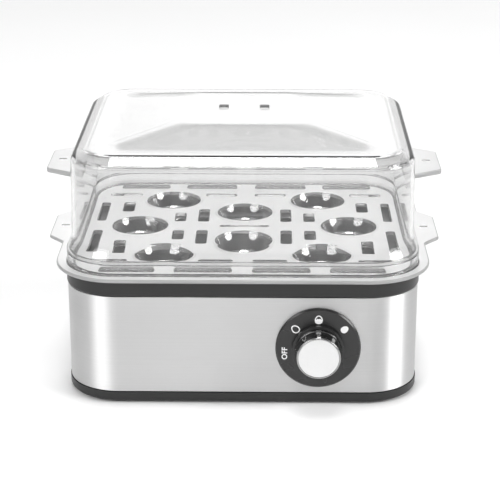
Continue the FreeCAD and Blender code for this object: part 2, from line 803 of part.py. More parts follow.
def make_control_regulator():
    """Rotary regulator: a moulded case with a threaded bush in front and blades behind."""
    body = new_body("control_regulator")
    low = ("dims.knob_x - dims.regulator_width / 2", BAND_BACK,
           "dims.knob_level - dims.regulator_height / 2")
    high = ("dims.knob_x + dims.regulator_width / 2", REGULATOR_REAR,
            "dims.knob_level + dims.regulator_height / 2")
    block_in(body, "AdditiveBox", "Case", low, high)
    for step in (-1, 0, 1):
        middle = "dims.knob_x + %d * dims.blade_pitch" % step
        start = (middle + " - dims.blade_width / 2", REGULATOR_REAR,
                 "dims.knob_level - dims.blade_sheet / 2")
        end = (middle + " + dims.blade_width / 2", REGULATOR_REAR + " + dims.blade_length",
               "dims.knob_level + dims.blade_sheet / 2")
        block_in(body, "AdditiveBox", "Blade%d" % (step + 1), start, end)
    bore_in(body, "AdditiveCylinder", "Bush", "dims.bush_radius", BUSH_FRONT, BAND_BACK,
            "dims.knob_x", "dims.knob_level")
    bore_in(body, "SubtractiveCylinder", "ShaftBore", "dims.shaft_radius + dims.snug_gap",
            BUSH_FRONT, SHAFT_REAR + " + dims.overlap", "dims.knob_x", "dims.knob_level")


def make_dial_plate():
    """Dark disc behind the knob, with a bevelled front edge."""
    body = new_body("dial_plate")
    bore_in(body, "AdditiveCylinder", "DialDisc", "dims.dial_radius", DIAL_FRONT, BAND_FRONT,
            "dims.knob_x", "dims.knob_level")
    front = value(body, DIAL_FRONT)
    dress(body, "Chamfer", "DialBevel", lambda edge, middle: abs(middle.y - front) < SAME,
          "Size", "dims.dial_bevel")
    bore_in(body, "SubtractiveCylinder", "DialHole", "dims.bush_radius + dims.close_gap",
            DIAL_FRONT + " - dims.overlap", BAND_FRONT + " + dims.overlap",
            "dims.knob_x", "dims.knob_level")


def make_bush_nut():
    """Thin hexagonal nut that clamps the regulator and the dial plate to the band."""
    blank = primitive("Prism", "BushNutBlank", {
        "Circumradius": "dims.bush_nut_radius",
        "Height": "dims.bush_nut_height",
        "Placement.Base.x": "dims.knob_x",
        "Placement.Base.y": NUT_FRONT,
        "Placement.Base.z": "dims.knob_level",
    }, turn=-90)
    hole = pin("BushNutHole", "dims.bush_radius + dims.snug_gap", NUT_FRONT, DIAL_FRONT)
    node(less("BushNut", blank, hole), "bush_nut")


def make_control_shaft():
    """Steel shaft with a flat under the knob's spring."""
    whole = pin("ShaftWhole", "dims.shaft_radius", SHAFT_FRONT, SHAFT_REAR)
    low = ("dims.knob_x - dims.shaft_radius - dims.overlap", SHAFT_FRONT + " - dims.overlap",
           "dims.knob_level + dims.flat_level")
    high = ("dims.knob_x + dims.shaft_radius + dims.overlap", SHAFT_FRONT + " + dims.flat_length",
            "dims.knob_level + dims.shaft_radius + dims.overlap")
    flat = block("ShaftFlat", low, high)
    node(less("ControlShaft", whole, flat), "control_shaft")


def make_knob_spring():
    """Leaf spring between the shaft's flat and the knob's bore."""
    front = SHAFT_FRONT + " + dims.wide_gap"
    level = "dims.knob_level + dims.flat_level + dims.snug_gap"
    low = ("dims.knob_x - dims.spring_width / 2", front, level)
    high = ("dims.knob_x + dims.spring_width / 2", front + " + dims.spring_length",
            level + " + dims.spring_sheet")
    node(block("KnobSpring", low, high), "knob_spring")


def make_knob_core():
    """Moulded core of the knob: a skirt, a bore for the shaft and a cavity over the nut."""
    skirt = pin("CoreSkirt", "dims.skirt_radius", CAP_REAR, KNOB_REAR)
    barrel = taper("CoreBarrel", "dims.knob_face_radius - dims.knob_wall",
                   "dims.knob_rear_radius - dims.knob_wall", KNOB_FACE + " + dims.knob_wall", CAP_REAR)
    behind = KNOB_REAR + " + dims.overlap"
    bore = pin("CoreBore", "dims.shaft_radius + dims.shaft_gap", SHAFT_FRONT + " - dims.wide_gap", behind)
    cavity = pin("CoreCavity", "dims.knob_cavity", KNOB_REAR + " - dims.cavity_depth", behind)
    space = fused("CoreSpace", [bore, cavity])
    node(less("KnobCore", fused("CoreBlank", [skirt, barrel]), space), "knob_core")


def pointer_dot(name, top):
    """An upright plug in the side of the knob, just behind its face."""
    bottom = "dims.knob_level + dims.knob_face_radius - dims.pointer_depth"
    return rod(name, "dims.pointer_radius", bottom, top,
               x="dims.knob_x", y=KNOB_FACE + " + dims.pointer_setback")


def make_knob_cap():
    """Chromed cup over the core's barrel, with a seat for the pointer dot."""
    outer = taper("CapOuter", "dims.knob_face_radius", "dims.knob_rear_radius", KNOB_FACE, CAP_REAR)
    inner = taper("CapInner", "dims.knob_face_radius - dims.knob_wall",
                  "dims.knob_rear_radius - dims.knob_wall", KNOB_FACE + " + dims.knob_wall", CAP_REAR)
    shell = less("CapShell", outer, inner)
    seat = pointer_dot("CapSeat", "dims.knob_level + dims.knob_rear_radius + dims.overlap")
    node(less("KnobCap", shell, seat), "knob_cap")


def make_knob_pointer():
    """White dot that shows which mark the knob points at."""
    dot = pointer_dot("KnobPointer", "dims.knob_level + dims.knob_face_radius + dims.pointer_proud")
    node(dot, "knob_pointer")


# ---- Mains side ----------------------------------------------------------------------------


def make_cord_gland():
    """Rubber bush in the rear wall that the mains cord passes through."""
    at = {"x": "0", "z": "dims.gland_level"}
    inner_face = BAND_REAR + " - dims.band_sheet"
    outer_end = BAND_REAR + " + dims.gland_sheet"
    inner_end = inner_face + " - dims.gland_sheet"
    flange = pin("GlandFlange", "dims.gland_flange", BAND_REAR, outer_end, **at)
    neck = pin("GlandNeck", "dims.gland_neck", inner_face, BAND_REAR, **at)
    collar = pin("GlandCollar", "dims.gland_flange - dims.gland_step", inner_end, inner_face, **at)
    bore = pin("GlandBore", "dims.cord_radius", inner_end, outer_end, **at)
    node(less("CordGland", fused("GlandBody", [flange, neck, collar]), bore), "cord_gland")


def make_terminal_block():
    """Three-way block on the floor that joins the mains cord to the inner wiring."""
    body = new_body("terminal_block")
    floor = "dims.cover_bottom + dims.cover_floor"
    low = ("-dims.block_width / 2", "dims.block_front", floor)
    high = ("dims.block_width / 2", "dims.block_rear", floor + " + dims.block_height")
    block_in(body, "AdditiveBox", "BlockCase", low, high)
    level = floor + " + dims.way_level"
    for step in (-1, 0, 1):
        x = "%d * dims.way_pitch" % step
        bore_in(body, "SubtractiveCylinder", "WireWay%d" % (step + 1), "dims.way_radius",
                "dims.block_front", "dims.block_rear", x, level)
        rod_in(body, "SubtractiveCylinder", "ScrewWay%d" % (step + 1), "dims.screw_way_radius", level,
               floor + " + dims.block_height", x=x, y="(dims.block_front + dims.block_rear) / 2")


def make_signal_buzzer():
    """Round sounder on the floor of the housing."""
    body = new_body("signal_buzzer")
    floor = "dims.cover_bottom + dims.cover_floor"
    top = floor + " + dims.buzzer_height"
    at = {"x": "dims.buzzer_x", "y": "dims.buzzer_y"}
    rod_in(body, "AdditiveCylinder", "BuzzerCase", "dims.buzzer_radius", floor, top, **at)
    rod_in(body, "SubtractiveCylinder", "BuzzerEye", "dims.buzzer_eye",
           top + " - dims.buzzer_eye_depth", top, **at)


# ---- Egg tray ------------------------------------------------------------------------------

PLATE_UNDER = "dims.plate_top - dims.tray_sheet"


def tab_pair(inner_x, root):
    """A trapezoid handle tab on each side, as corners for polygon()."""
    tabs = []
    for side in (1, -1):
        tabs.append([
            (side, inner_x, -1, root),
            (side, "dims.tab_reach", -1, "dims.tab_end"),
            (side, "dims.tab_reach", 1, "dims.tab_end"),
            (side, inner_x, 1, root),
        ])
    return tabs


def tab_corner(body):
    """A test for the four upright edges at the ends of the tabs."""
    reach = value(body, "dims.tab_reach")
    end = value(body, "dims.tab_end")

    def chosen(edge, middle):
        upright = abs(edge.Vertexes[0].Z - edge.Vertexes[-1].Z) > 1
        return upright and abs(abs(middle.x) - reach) < SAME and abs(abs(middle.y) - end) < SAME

    return chosen


def egg_places():
    """Eight cups: two behind one another in the middle, one at each end and one in each corner."""
    places = [("0", signed(side, "dims.middle_cup_y")) for side in (1, -1)]
    places += [(signed(side, "dims.side_cup_x"), "0") for side in (1, -1)]
    for side_x, side_y in QUARTERS:
        places.append((signed(side_x, "dims.corner_cup_x"), signed(side_y, "dims.corner_cup_y")))
    return places


def make_egg_cup(body, index, x, y):
    """A spherical cup hanging from the plate, open at the bottom."""
    centre = "dims.plate_top + dims.cup_centre"
    place = {"Placement.Base.x": x, "Placement.Base.y": y, "Placement.Base.z": centre}
    outer = "(dims.cup_radius + dims.cup_wall)"
    shell = {
        "Radius": outer,
        "Angle1": "-asin((dims.cup_centre + dims.cup_depth) / %s)" % outer,
        "Angle2": "-asin((dims.cup_centre + dims.tray_sheet / 2) / %s)" % outer,
    }
    solid_in(body, "AdditiveSphere", "CupShell%d" % index, {**shell, **place})
    solid_in(body, "SubtractiveSphere", "CupInside%d" % index, {"Radius": "dims.cup_radius", **place})


def make_egg_tray():
    """Clear moulding: a flanged plate with a wall for the lid, eight cups and steam slots."""
    body = new_body("egg_tray")
    seat_top = "dims.lid_bottom + dims.seat_height"
    slab(body, "TrayPlate", PLATE_UNDER, "dims.plate_top", "dims.flange_reach")
    outline = tab_pair("dims.body_width / 2", "dims.tray_tab_root")
    tabs = polygon(body, "TrayTabPlan", PLATE_UNDER, outline)
    feature(body, "Pad", "TrayTabs", tabs, {"Length": "dims.tray_sheet"})
    dress(body, "Fillet", "TrayTabRound", tab_corner(body), "Radius", "dims.tab_corner")
    slab(body, "TrayWall", "dims.plate_top", "dims.lid_bottom", "0")
    slab(body, "TraySeat", "dims.lid_bottom", seat_top, "-dims.seat_inset")
    hollow(body, "TrayInside", "dims.plate_top", seat_top, "-dims.tray_wall")
    for index, (x, y) in enumerate(egg_places()):
        make_egg_cup(body, index, x, y)
    for family in SLOT_FAMILIES:
        sketch = flat_sketch(body, family + "_plan", "dims.plate_top")
        for side_x, side_y in QUARTERS:
            parts = ("x", "y", "width", "length")
            centre_x, centre_y, width, length = ("dims.%s_%s" % (family, part) for part in parts)
            near_x = "%s - %s / 2" % (centre_x, width)
            far_x = "%s + %s / 2" % (centre_x, width)
            near_y = "%s - %s / 2" % (centre_y, length)
            far_y = "%s + %s / 2" % (centre_y, length)
            ends_x = (near_x, far_x) if side_x > 0 else (far_x, near_x)
            ends_y = (near_y, far_y) if side_y > 0 else (far_y, near_y)
            rounded_box(sketch, (side_x, ends_x[0]), (side_x, ends_x[1]),
                        (side_y, ends_y[0]), (side_y, ends_y[1]), "dims.slot_corner")
        feature(body, "Pocket", family + "_cut", sketch, {"Length": "dims.tray_sheet"})
    middle = centred_box(body, "MiddleSlotPlan", "dims.plate_top", "dims.middle_slot_half_x",
                         "dims.middle_slot_half_y", "dims.middle_slot_corner")
    feature(body, "Pocket", "MiddleSlot", middle, {"Length": "dims.tray_sheet"})


# ---- Lid -----------------------------------------------------------------------------------


def lid_profile(thin, foot_thin):
    """Levels and plan distances of the lid's wall, moved inwards by a wall thickness."""
    slope = "(dims.shoulder_inset - dims.flare_inset)"
    return [
        ("dims.lid_bottom", "0 - (%s)" % foot_thin),
        ("dims.lid_bottom + dims.flare_band", "0 - (%s)" % foot_thin),
        ("dims.lid_bottom + dims.flare_height", "-dims.flare_inset - (%s)" % thin),
        ("dims.lid_shoulder", "-dims.flare_inset - %s - (%s)" % (slope, thin)),
        ("dims.rim_top - (%s)" % thin, "-dims.rim_inset - (%s) / 2" % thin),
    ]


def loft(body, kind, name, sections):
    made = body.newObject("PartDesign::" + kind, name)
    made.Profile = sections[0]
    made.Sections = sections[1:]
    made.Ruled = True
    return made


def dome_sections(body, name, thin):
    """The raised panel of the lid: a rounded rectangle that narrows to a nearly square top."""
    grow = "-dims.dome_inset - (%s) / 2" % thin
    foot = centred_box(body, name + "Foot", "dims.rim_top - (%s)" % thin,
                       "dims.body_width / 2 + (%s)" % grow, "dims.body_depth / 2 + (%s)" % grow,
                       "dims.dome_corner - (%s) / 2" % thin)
    half = "dims.plateau_half - (%s) / 4" % thin
    top = centred_box(body, name + "Top", "dims.dome_top - (%s)" % thin, half, half,
                      "dims.plateau_corner - (%s) / 2" % thin)
    return [foot, top]


def make_lid():
    """Clear lid: flared foot, drafted wall, chamfered shoulder, flat rim and a raised panel."""
    body = new_body("lid")
    outer = [plan(body, "LidOuter%d" % index, level, grow)
             for index, (level, grow) in enumerate(lid_profile("0", "0"))]
    loft(body, "AdditiveLoft", "LidShell", outer)
    loft(body, "AdditiveLoft", "LidDome", dome_sections(body, "Dome", "0"))
    inner_x = "dims.body_width / 2 - dims.shoulder_inset - dims.lid_wall"
    tabs = polygon(body, "LidTabPlan", "dims.lid_tab_level - dims.lid_tab_thick / 2",
                   tab_pair(inner_x, "dims.tab_root"))
    feature(body, "Pad", "LidTabs", tabs, {"Length": "dims.lid_tab_thick"})
    dress(body, "Fillet", "LidTabRound", tab_corner(body), "Radius", "dims.tab_corner")
    inner = [plan(body, "LidInner%d" % index, level, grow)
             for index, (level, grow) in enumerate(lid_profile("dims.lid_wall", "dims.lid_foot_wall"))]
    loft(body, "SubtractiveLoft", "LidInside", inner)
    loft(body, "SubtractiveLoft", "DomeInside", dome_sections(body, "DomeInner", "dims.lid_wall"))
    vents = flat_sketch(body, "VentPlan", "dims.dome_top")
    for side in (1, -1):
        near = "dims.vent_x - dims.vent_half_x"
        far = "dims.vent_x + dims.vent_half_x"
        ends = (near, far) if side > 0 else (far, near)
        rounded_box(vents, (side, ends[0]), (side, ends[1]), (-1, "dims.vent_half_y - dims.vent_y"),
                    (1, "dims.vent_half_y + dims.vent_y"), "dims.vent_corner")
    feature(body, "Pocket", "Vents", vents, {"Length": "dims.lid_wall"})


# ---- Build, check and write ----------------------------------------------------------------


def check_document():
    """Stop if any object failed or any sub-part has no valid shape."""
    for thing in doc.Objects:
        if {"Invalid", "Error"} & set(thing.State):
            raise RuntimeError("%s failed: %s" % (thing.Name, thing.State))
    for thing in nodes:
        if thing.Shape.isNull() or not thing.Shape.isValid():
            raise RuntimeError("%s has no valid shape" % thing.Label)


def write_parts():
    os.makedirs("parts", exist_ok=True)
    for thing in nodes:
        thing.Shape.exportStep("parts/%s.step" % thing.Label)
        print("%-20s %2d solid  %9.1f mm3" % (thing.Label, len(thing.Shape.Solids), thing.Shape.Volume))


fill_sheet()
make_bottom_cover()
make_housing_band()
make_top_ring()
make_cover_screws()
make_feet()
make_heating_plate()
make_pan_seal()
make_heating_element()
make_element_clamp()
make_clamp_nuts()
make_thermostat()
make_thermostat_bracket()
make_thermal_fuse()
make_fuse_clip()
make_control_regulator()
make_dial_plate()
make_bush_nut()
make_control_shaft()
make_knob_spring()
make_knob_core()
make_knob_cap()
make_knob_pointer()
make_cord_gland()
make_terminal_block()
make_signal_buzzer()
make_egg_tray()
make_lid()
doc.recompute()
check_document()
write_parts()
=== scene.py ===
"""Egg cooker: steel-banded base with a control knob, clear egg tray and clear lid."""

import json
import math

import bmesh
import bpy
from mathutils import Matrix, Vector


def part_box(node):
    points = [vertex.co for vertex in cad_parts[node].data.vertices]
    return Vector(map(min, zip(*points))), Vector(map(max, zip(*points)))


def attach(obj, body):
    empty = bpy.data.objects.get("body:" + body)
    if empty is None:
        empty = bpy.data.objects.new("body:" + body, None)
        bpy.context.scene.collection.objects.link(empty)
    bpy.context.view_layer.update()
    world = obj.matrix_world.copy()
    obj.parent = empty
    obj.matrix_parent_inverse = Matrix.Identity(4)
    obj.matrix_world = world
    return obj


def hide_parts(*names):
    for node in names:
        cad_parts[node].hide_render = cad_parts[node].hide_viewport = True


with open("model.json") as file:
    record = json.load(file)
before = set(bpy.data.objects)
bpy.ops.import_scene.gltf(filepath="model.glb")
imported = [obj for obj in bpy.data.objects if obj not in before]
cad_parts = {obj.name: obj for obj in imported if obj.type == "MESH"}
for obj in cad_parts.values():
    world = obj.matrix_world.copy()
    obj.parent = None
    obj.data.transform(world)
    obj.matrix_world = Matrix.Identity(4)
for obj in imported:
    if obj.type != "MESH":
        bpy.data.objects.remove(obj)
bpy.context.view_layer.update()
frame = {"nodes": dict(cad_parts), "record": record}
NODES = frame["nodes"]
MM = 0.001


def box_mm(name):
    """Lowest and highest corners of a CAD node, in millimetres."""
    low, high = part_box(name)
    return low / MM, high / MM


# ---- Camera, floor and light ---------------------------------------------------------------

# The camera was fitted to the photo: millimetres for the lens, metres and radians for the place.
LENS, SENSOR = 113.707, 36.0
CAMERA_PLACE = (0.0171, -0.94625, 0.41646)
CAMERA_PITCH, CAMERA_YAW = -0.355548, 0.0143162
FAR_CLIP = 40.0
FLOOR_RADIUS = 9.0
OBJECT_MIDDLE = (0.0, 0.0, 0.06)

# Brightness of the studio by height (Z) and by distance to the sides (X) of the view direction.
HEIGHT_STOPS = ((0.0, 1.0), (0.10, 1.15), (0.34, 1.40), (0.52, 0.45), (1.0, 0.25))
SIDE_STOPS = ((0.12, 1.0), (0.30, 0.62), (0.72, 0.40), (1.0, 0.32))
STUDIO_STRENGTH = 0.90


def make_camera():
    data = bpy.data.cameras.new("camera")
    data.sensor_width = SENSOR
    data.lens = LENS
    data.clip_end = FAR_CLIP
    camera = bpy.data.objects.new("camera", data)
    camera.location = CAMERA_PLACE
    camera.rotation_euler = (math.pi / 2 + CAMERA_PITCH, 0.0, CAMERA_YAW)
    bpy.context.scene.collection.objects.link(camera)
    bpy.context.scene.camera = camera


def make_light(name, azimuth, elevation, distance, size, power, aim=OBJECT_MIDDLE):
    """An elliptical soft light. Azimuth 0 is in front (-Y), positive to the right (+X)."""
    data = bpy.data.lights.new(name, "AREA")
    data.shape = "ELLIPSE"
    data.size, data.size_y = size
    data.energy = power
    light = bpy.data.objects.new(name, data)
    turn, rise = math.radians(azimuth), math.radians(elevation)
    place = Vector((math.sin(turn) * math.cos(rise), -math.cos(turn) * math.cos(rise), math.sin(rise)))
    light.location = Vector(aim) + place * distance
    light.rotation_euler = place.to_track_quat("Z", "Y").to_euler()
    light.visible_camera = False
    bpy.context.scene.collection.objects.link(light)


def studio_tone(tree, value, stops):
    """A ramp of greys over a number from -1 to 1."""
    ramp = tree.nodes.new("ShaderNodeValToRGB")
    tree.links.new(value, ramp.inputs[0])
    fill_ramp(ramp, [(spot, (level, level, level)) for spot, level in stops])
    return ramp.outputs[0]


def make_world():
    """A plain studio: bright in front and behind near the horizon, darker overhead and to the sides."""
    world = bpy.data.worlds.new("studio")
    bpy.context.scene.world = world
    world.use_nodes = True
    tree = world.node_tree
    tree.nodes.clear()
    output = tree.nodes.new("ShaderNodeOutputWorld")
    back = tree.nodes.new("ShaderNodeBackground")
    place = tree.nodes.new("ShaderNodeTexCoord")
    split = tree.nodes.new("ShaderNodeSeparateXYZ")
    tree.links.new(place.outputs["Generated"], split.inputs[0])
    side = tree.nodes.new("ShaderNodeMath")
    side.operation = "ABSOLUTE"
    tree.links.new(split.outputs["X"], side.inputs[0])
    both = tree.nodes.new("ShaderNodeMix")
    both.data_type = "RGBA"
    both.blend_type = "MULTIPLY"
    both.inputs["Factor"].default_value = 1.0
    tree.links.new(studio_tone(tree, split.outputs["Z"], HEIGHT_STOPS), both.inputs["A"])
    tree.links.new(studio_tone(tree, side.outputs[0], SIDE_STOPS), both.inputs["B"])
    tree.links.new(both.outputs["Result"], back.inputs["Color"])
    back.inputs["Strength"].default_value = STUDIO_STRENGTH
    tree.links.new(back.outputs[0], output.inputs["Surface"])


def make_floor():
    """A broad pale sweep of paper."""
    bm = bmesh.new()
    bmesh.ops.create_circle(bm, cap_ends=True, radius=FLOOR_RADIUS, segments=96)
    floor = as_object("floor", bm)
    look = Look("floor_paper", 0.6, (0.93, 0.93, 0.93))
    look.bsdf.inputs["Specular IOR Level"].default_value = 0.1
    tone = look.noise(3.0, 3.0, 0.5)
    look.colour(tone, [(0.3, (0.925, 0.925, 0.925)), (0.7, (0.94, 0.94, 0.94))])
    floor.data.materials.append(look.material)


# ---- Materials -----------------------------------------------------------------------------

PLASTIC_IOR = 1.49
GRAIN_DEPTH = 0.00004   # metres
WEAR = 0.06             # how far roughness strays to either side of its middle value


def fill_ramp(ramp, stops):
    """Gives a colour ramp node its stops, each a place and a colour."""
    elements = ramp.color_ramp.elements
    while len(elements) > 1:
        elements.remove(elements[-1])
    for index, (at, colour) in enumerate(stops):
        element = elements[0] if index == 0 else elements.new(at)
        element.position = at
        element.color = (*colour, 1.0)


class Look:
    """A node material around one Principled shader, with coordinates in metres."""

    def __init__(self, name, roughness, colour, metallic=0.0):
        self.material = bpy.data.materials.new(name)
        self.material.use_nodes = True
        self.nodes = self.material.node_tree.nodes
        self.links = self.material.node_tree.links
        self.bsdf = next(n for n in self.nodes if n.type == "BSDF_PRINCIPLED")
        self.output = next(n for n in self.nodes if n.type == "OUTPUT_MATERIAL")
        self.bsdf.inputs["Base Color"].default_value = (*colour, 1.0)
        self.bsdf.inputs["Roughness"].default_value = roughness
        self.bsdf.inputs["Metallic"].default_value = metallic
        self.place = self.nodes.new("ShaderNodeTexCoord").outputs["Object"]
        self.material.diffuse_color = (*colour, 1.0)

    def mapped(self, scale):
        mapping = self.nodes.new("ShaderNodeMapping")
        mapping.inputs["Scale"].default_value = scale
        self.links.new(self.place, mapping.inputs["Vector"])
        return mapping.outputs[0]

    def noise(self, scale, detail=2.0, roughness=0.5, stretch=(1.0, 1.0, 1.0)):
        texture = self.nodes.new("ShaderNodeTexNoise")
        texture.inputs["Scale"].default_value = scale
        texture.inputs["Detail"].default_value = detail
        texture.inputs["Roughness"].default_value = roughness
        self.links.new(self.mapped(stretch), texture.inputs["Vector"])
        return texture.outputs["Fac"]

    def remap(self, value, low, high, new_low, new_high):
        node = self.nodes.new("ShaderNodeMapRange")
        self.links.new(value, node.inputs["Value"])
        ends = {"From Min": low, "From Max": high, "To Min": new_low, "To Max": new_high}
        for name, number in ends.items():
            node.inputs[name].default_value = number
        return node.outputs[0]

    def ramp(self, value, stops):
        node = self.nodes.new("ShaderNodeValToRGB")
        fill_ramp(node, stops)
        self.links.new(value, node.inputs[0])
        return node.outputs[0]

    def colour(self, value, stops):
        self.links.new(self.ramp(value, stops), self.bsdf.inputs["Base Color"])

    def rough(self, value, low, high, new_low, new_high):
        self.links.new(self.remap(value, low, high, new_low, new_high), self.bsdf.inputs["Roughness"])

    def bump(self, value, strength, distance):
        """Adds a height to the surface; several calls stack up."""
        node = self.nodes.new("ShaderNodeBump")
        node.inputs["Strength"].default_value = strength
        node.inputs["Distance"].default_value = distance
        self.links.new(value, node.inputs["Height"])
        before = self.bsdf.inputs["Normal"]
        if before.is_linked:
            self.links.new(before.links[0].from_socket, node.inputs["Normal"])
        self.links.new(node.outputs[0], before)

    def lamps_through(self, tint):
        """Lets lamp light through a clear moulding instead of leaving a black shadow."""
        path = self.nodes.new("ShaderNodeLightPath")
        clear = self.nodes.new("ShaderNodeBsdfTransparent")
        clear.inputs["Color"].default_value = (tint, tint, tint, 1.0)
        mix = self.nodes.new("ShaderNodeMixShader")
        self.links.new(path.outputs["Is Shadow Ray"], mix.inputs["Fac"])
        self.links.new(self.bsdf.outputs[0], mix.inputs[1])
        self.links.new(clear.outputs[0], mix.inputs[2])
        self.links.new(mix.outputs[0], self.output.inputs["Surface"])


def plastic(name, shade, roughness, grain=2600.0, depth=GRAIN_DEPTH):
    """Moulded plastic: a fine spark-eroded grain, slow tone changes and rubbed gloss."""
    look = Look(name, roughness, (shade, shade, shade))
    slow = look.noise(22.0, 3.0, 0.55)
    fine = look.noise(grain, 2.0, 0.6)
    look.colour(slow, [(0.25, (shade * 0.86,) * 3), (0.75, (shade * 1.14,) * 3)])
    look.rough(slow, 0.3, 0.7, roughness - WEAR, roughness + WEAR)
    look.bump(fine, 0.35, depth)
    return look


def steel(name, shade, roughness, stretch, strength, anisotropic=0.0, contrast=0.06):
    """Sheet steel with a directional grain: stretch says how fast it changes along each axis."""
    look = Look(name, roughness, (shade, shade, shade), metallic=1.0)
    grain = look.noise(1.0, 4.0, 0.65, stretch)
    slow = look.noise(9.0, 2.0, 0.5)
    look.colour(grain, [(0.25, (shade * (1 - contrast),) * 3), (0.75, (shade * (1 + contrast),) * 3)])
    mixed = look.nodes.new("ShaderNodeMath")
    mixed.operation = "ADD"
    look.links.new(grain, mixed.inputs[0])
    look.links.new(slow, mixed.inputs[1])
    look.rough(mixed.outputs[0], 0.7, 1.3, roughness - WEAR, roughness + WEAR)
    look.bump(grain, strength, 0.00003)
    look.bsdf.inputs["Anisotropic"].default_value = anisotropic
    return look


def clear(name, tint, roughness):
    """Clear moulded plastic: slight flow ripples and a hint of haze where it is rubbed."""
    look = Look(name, roughness, (tint, tint, tint))
    look.bsdf.inputs["Transmission Weight"].default_value = 1.0
    look.bsdf.inputs["IOR"].default_value = PLASTIC_IOR
    flow = look.noise(14.0, 2.0, 0.5)
    rub = look.noise(60.0, 4.0, 0.6)
    look.rough(rub, 0.35, 0.75, roughness, roughness + 0.03)
    look.colour(flow, [(0.3, (tint * 0.985,) * 3), (0.7, (min(tint * 1.01, 1.0),) * 3)])
    look.bump(flow, 0.25, 0.0004)
    look.lamps_through(0.93)
    return look


def frosted(name, shade):
    """Clear plastic with a satin, slightly milky face, as on the tray's plate; in a darker shade on the
    tabs' edges it is painted shade.
    """
    look = Look(name, 0.34, (shade, shade, shade))
    look.bsdf.inputs["Transmission Weight"].default_value = 0.42
    look.bsdf.inputs["IOR"].default_value = PLASTIC_IOR
    flow = look.noise(18.0, 3.0, 0.5)
    fine = look.noise(1800.0, 2.0, 0.6)
    look.colour(flow, [(0.3, (shade - 0.03,) * 3), (0.7, (shade + 0.03,) * 3)])
    look.rough(flow, 0.3, 0.7, 0.28, 0.38)
    look.bump(fine, 0.2, GRAIN_DEPTH)
    look.lamps_through(0.8)
    return look


def make_materials():
    """One node material for each slot of the record, and a few for the finer pieces."""
    black = plastic("moulded_black", 0.018, 0.38)
    black.bsdf.inputs["Specular IOR Level"].default_value = 0.38
    dial = plastic("dial_black", 0.016, 0.26, grain=3200.0)
    core = plastic("knob_black", 0.020, 0.22, grain=3600.0, depth=0.00002)
    rubber = plastic("rubber_black", 0.028, 0.72, grain=1500.0, depth=0.00008)
    seal = plastic("seal_grey", 0.30, 0.62, grain=1500.0)
    gland = plastic("gland_black", 0.030, 0.60, grain=1700.0)
    cream = plastic("terminal_cream", 0.62, 0.45)
    cream.colour(cream.noise(40.0), [(0.3, (0.62, 0.59, 0.50)), (0.7, (0.70, 0.67, 0.58))])
    casing = plastic("casing_grey", 0.17, 0.42)
    white = plastic("print_white", 0.86, 0.42, grain=3000.0)
    band = steel("band_steel", 0.74, 0.48, (4.0, 4.0, 1300.0), 0.08, anisotropic=0.93, contrast=0.03)
    band.bsdf.inputs["Anisotropic Rotation"].default_value = 0.25
    # The pan's steel has a dark base colour: painted shade of the pan inside the base.
    pan_painted_shade = steel("pan_steel", 0.20, 0.36, (4.0, 700.0, 700.0), 0.25)
    plated = steel("plated_steel", 0.55, 0.34, (300.0, 300.0, 300.0), 0.3)
    sheath = steel("sheath_grey", 0.22, 0.50, (500.0, 500.0, 500.0), 0.5)
    chrome = steel("knob_chrome", 0.34, 0.12, (60.0, 60.0, 60.0), 0.05)
    face = steel("knob_face", 0.74, 0.36, (900.0, 900.0, 900.0), 0.05, contrast=0.02)
    # Opaque grey on the walls of the clear lid's vents: painted shade of those walls.
    vent_shade = plastic("vent_painted_shade", 0.22, 0.5)
    cup = clear("cup_clear", 0.86, 0.012)
    cup.bsdf.inputs["Coat Weight"].default_value = 1.0
    cup.bsdf.inputs["Coat IOR"].default_value = 1.9
    table = {
        "black_plastic": black, "brushed_band": band, "screw_steel": plated, "foot_rubber": rubber,
        "pan_steel": pan_painted_shade, "seal_rubber": seal, "element_sheath": sheath, "clamp_steel": plated,
        "thermostat_case": casing, "fuse_case": cream, "regulator_case": casing, "dial_plastic": dial,
        "gland_rubber": gland, "terminal_plastic": cream, "buzzer_case": casing, "knob_plastic": core,
        "knob_chrome": chrome, "pointer_white": white, "knob_face": face,
        "clear_tray": clear("tray_clear", 0.84, 0.01), "clear_lid": clear("lid_clear", 0.84, 0.006),
        # The edges get a darker grey of the milky finish: painted shade along the edges.
        "tray_frost": frosted("tray_frost", 0.73), "edge_frost_painted_shade": frosted("edge_frost_painted_shade", 0.42),
        "vent_painted_shade": vent_shade, "cup_clear": cup,
    }
    return {slot: look.material for slot, look in table.items()}


def dress_nodes(looks):
    """Gives every carried-over CAD node the node material of its slot."""
    slots = {row["node"]: row["material_slot"] for row in frame["record"]["subparts"]}
    for name, obj in NODES.items():
        for index in range(len(obj.material_slots)):
            obj.material_slots[index].material = looks[slots[name]]


# ---- Mesh helpers, all in millimetres ------------------------------------------------------

WELD = 2e-7          # metres
CORNER_STEPS = 9     # steps in each rounded corner of the lid
SIDES = (1, -1)      # right and left, or rear and front


def as_object(name, bm, sharp=32.0):
    """A welded, smooth-shaded object whose real edges stay sharp."""
    bmesh.ops.remove_doubles(bm, verts=bm.verts, dist=WELD)
    bmesh.ops.recalc_face_normals(bm, faces=bm.faces)
    mesh = bpy.data.meshes.new(name)
    bm.to_mesh(mesh)
    bm.free()
    mesh.polygons.foreach_set("use_smooth", [True] * len(mesh.polygons))
    mesh.set_sharp_from_angle(angle=math.radians(sharp))
    obj = bpy.data.objects.new(name, mesh)
    bpy.context.scene.collection.objects.link(obj)
    weighted = obj.modifiers.new("weighted", "WEIGHTED_NORMAL")
    weighted.keep_sharp = True
    return obj


def loop(bm, points):
    """New vertices at points in millimetres."""
    return [bm.verts.new(Vector(point) * MM) for point in points]


def skin(bm, first, second, skip=()):
    """Quads between two closed loops of the same length, leaving out the steps in skip."""
    made = []
    for i in range(len(first)):
        if i not in skip:
            j = (i + 1) % len(first)
            made.append(bm.faces.new((first[i], first[j], second[j], second[i])))
    return made


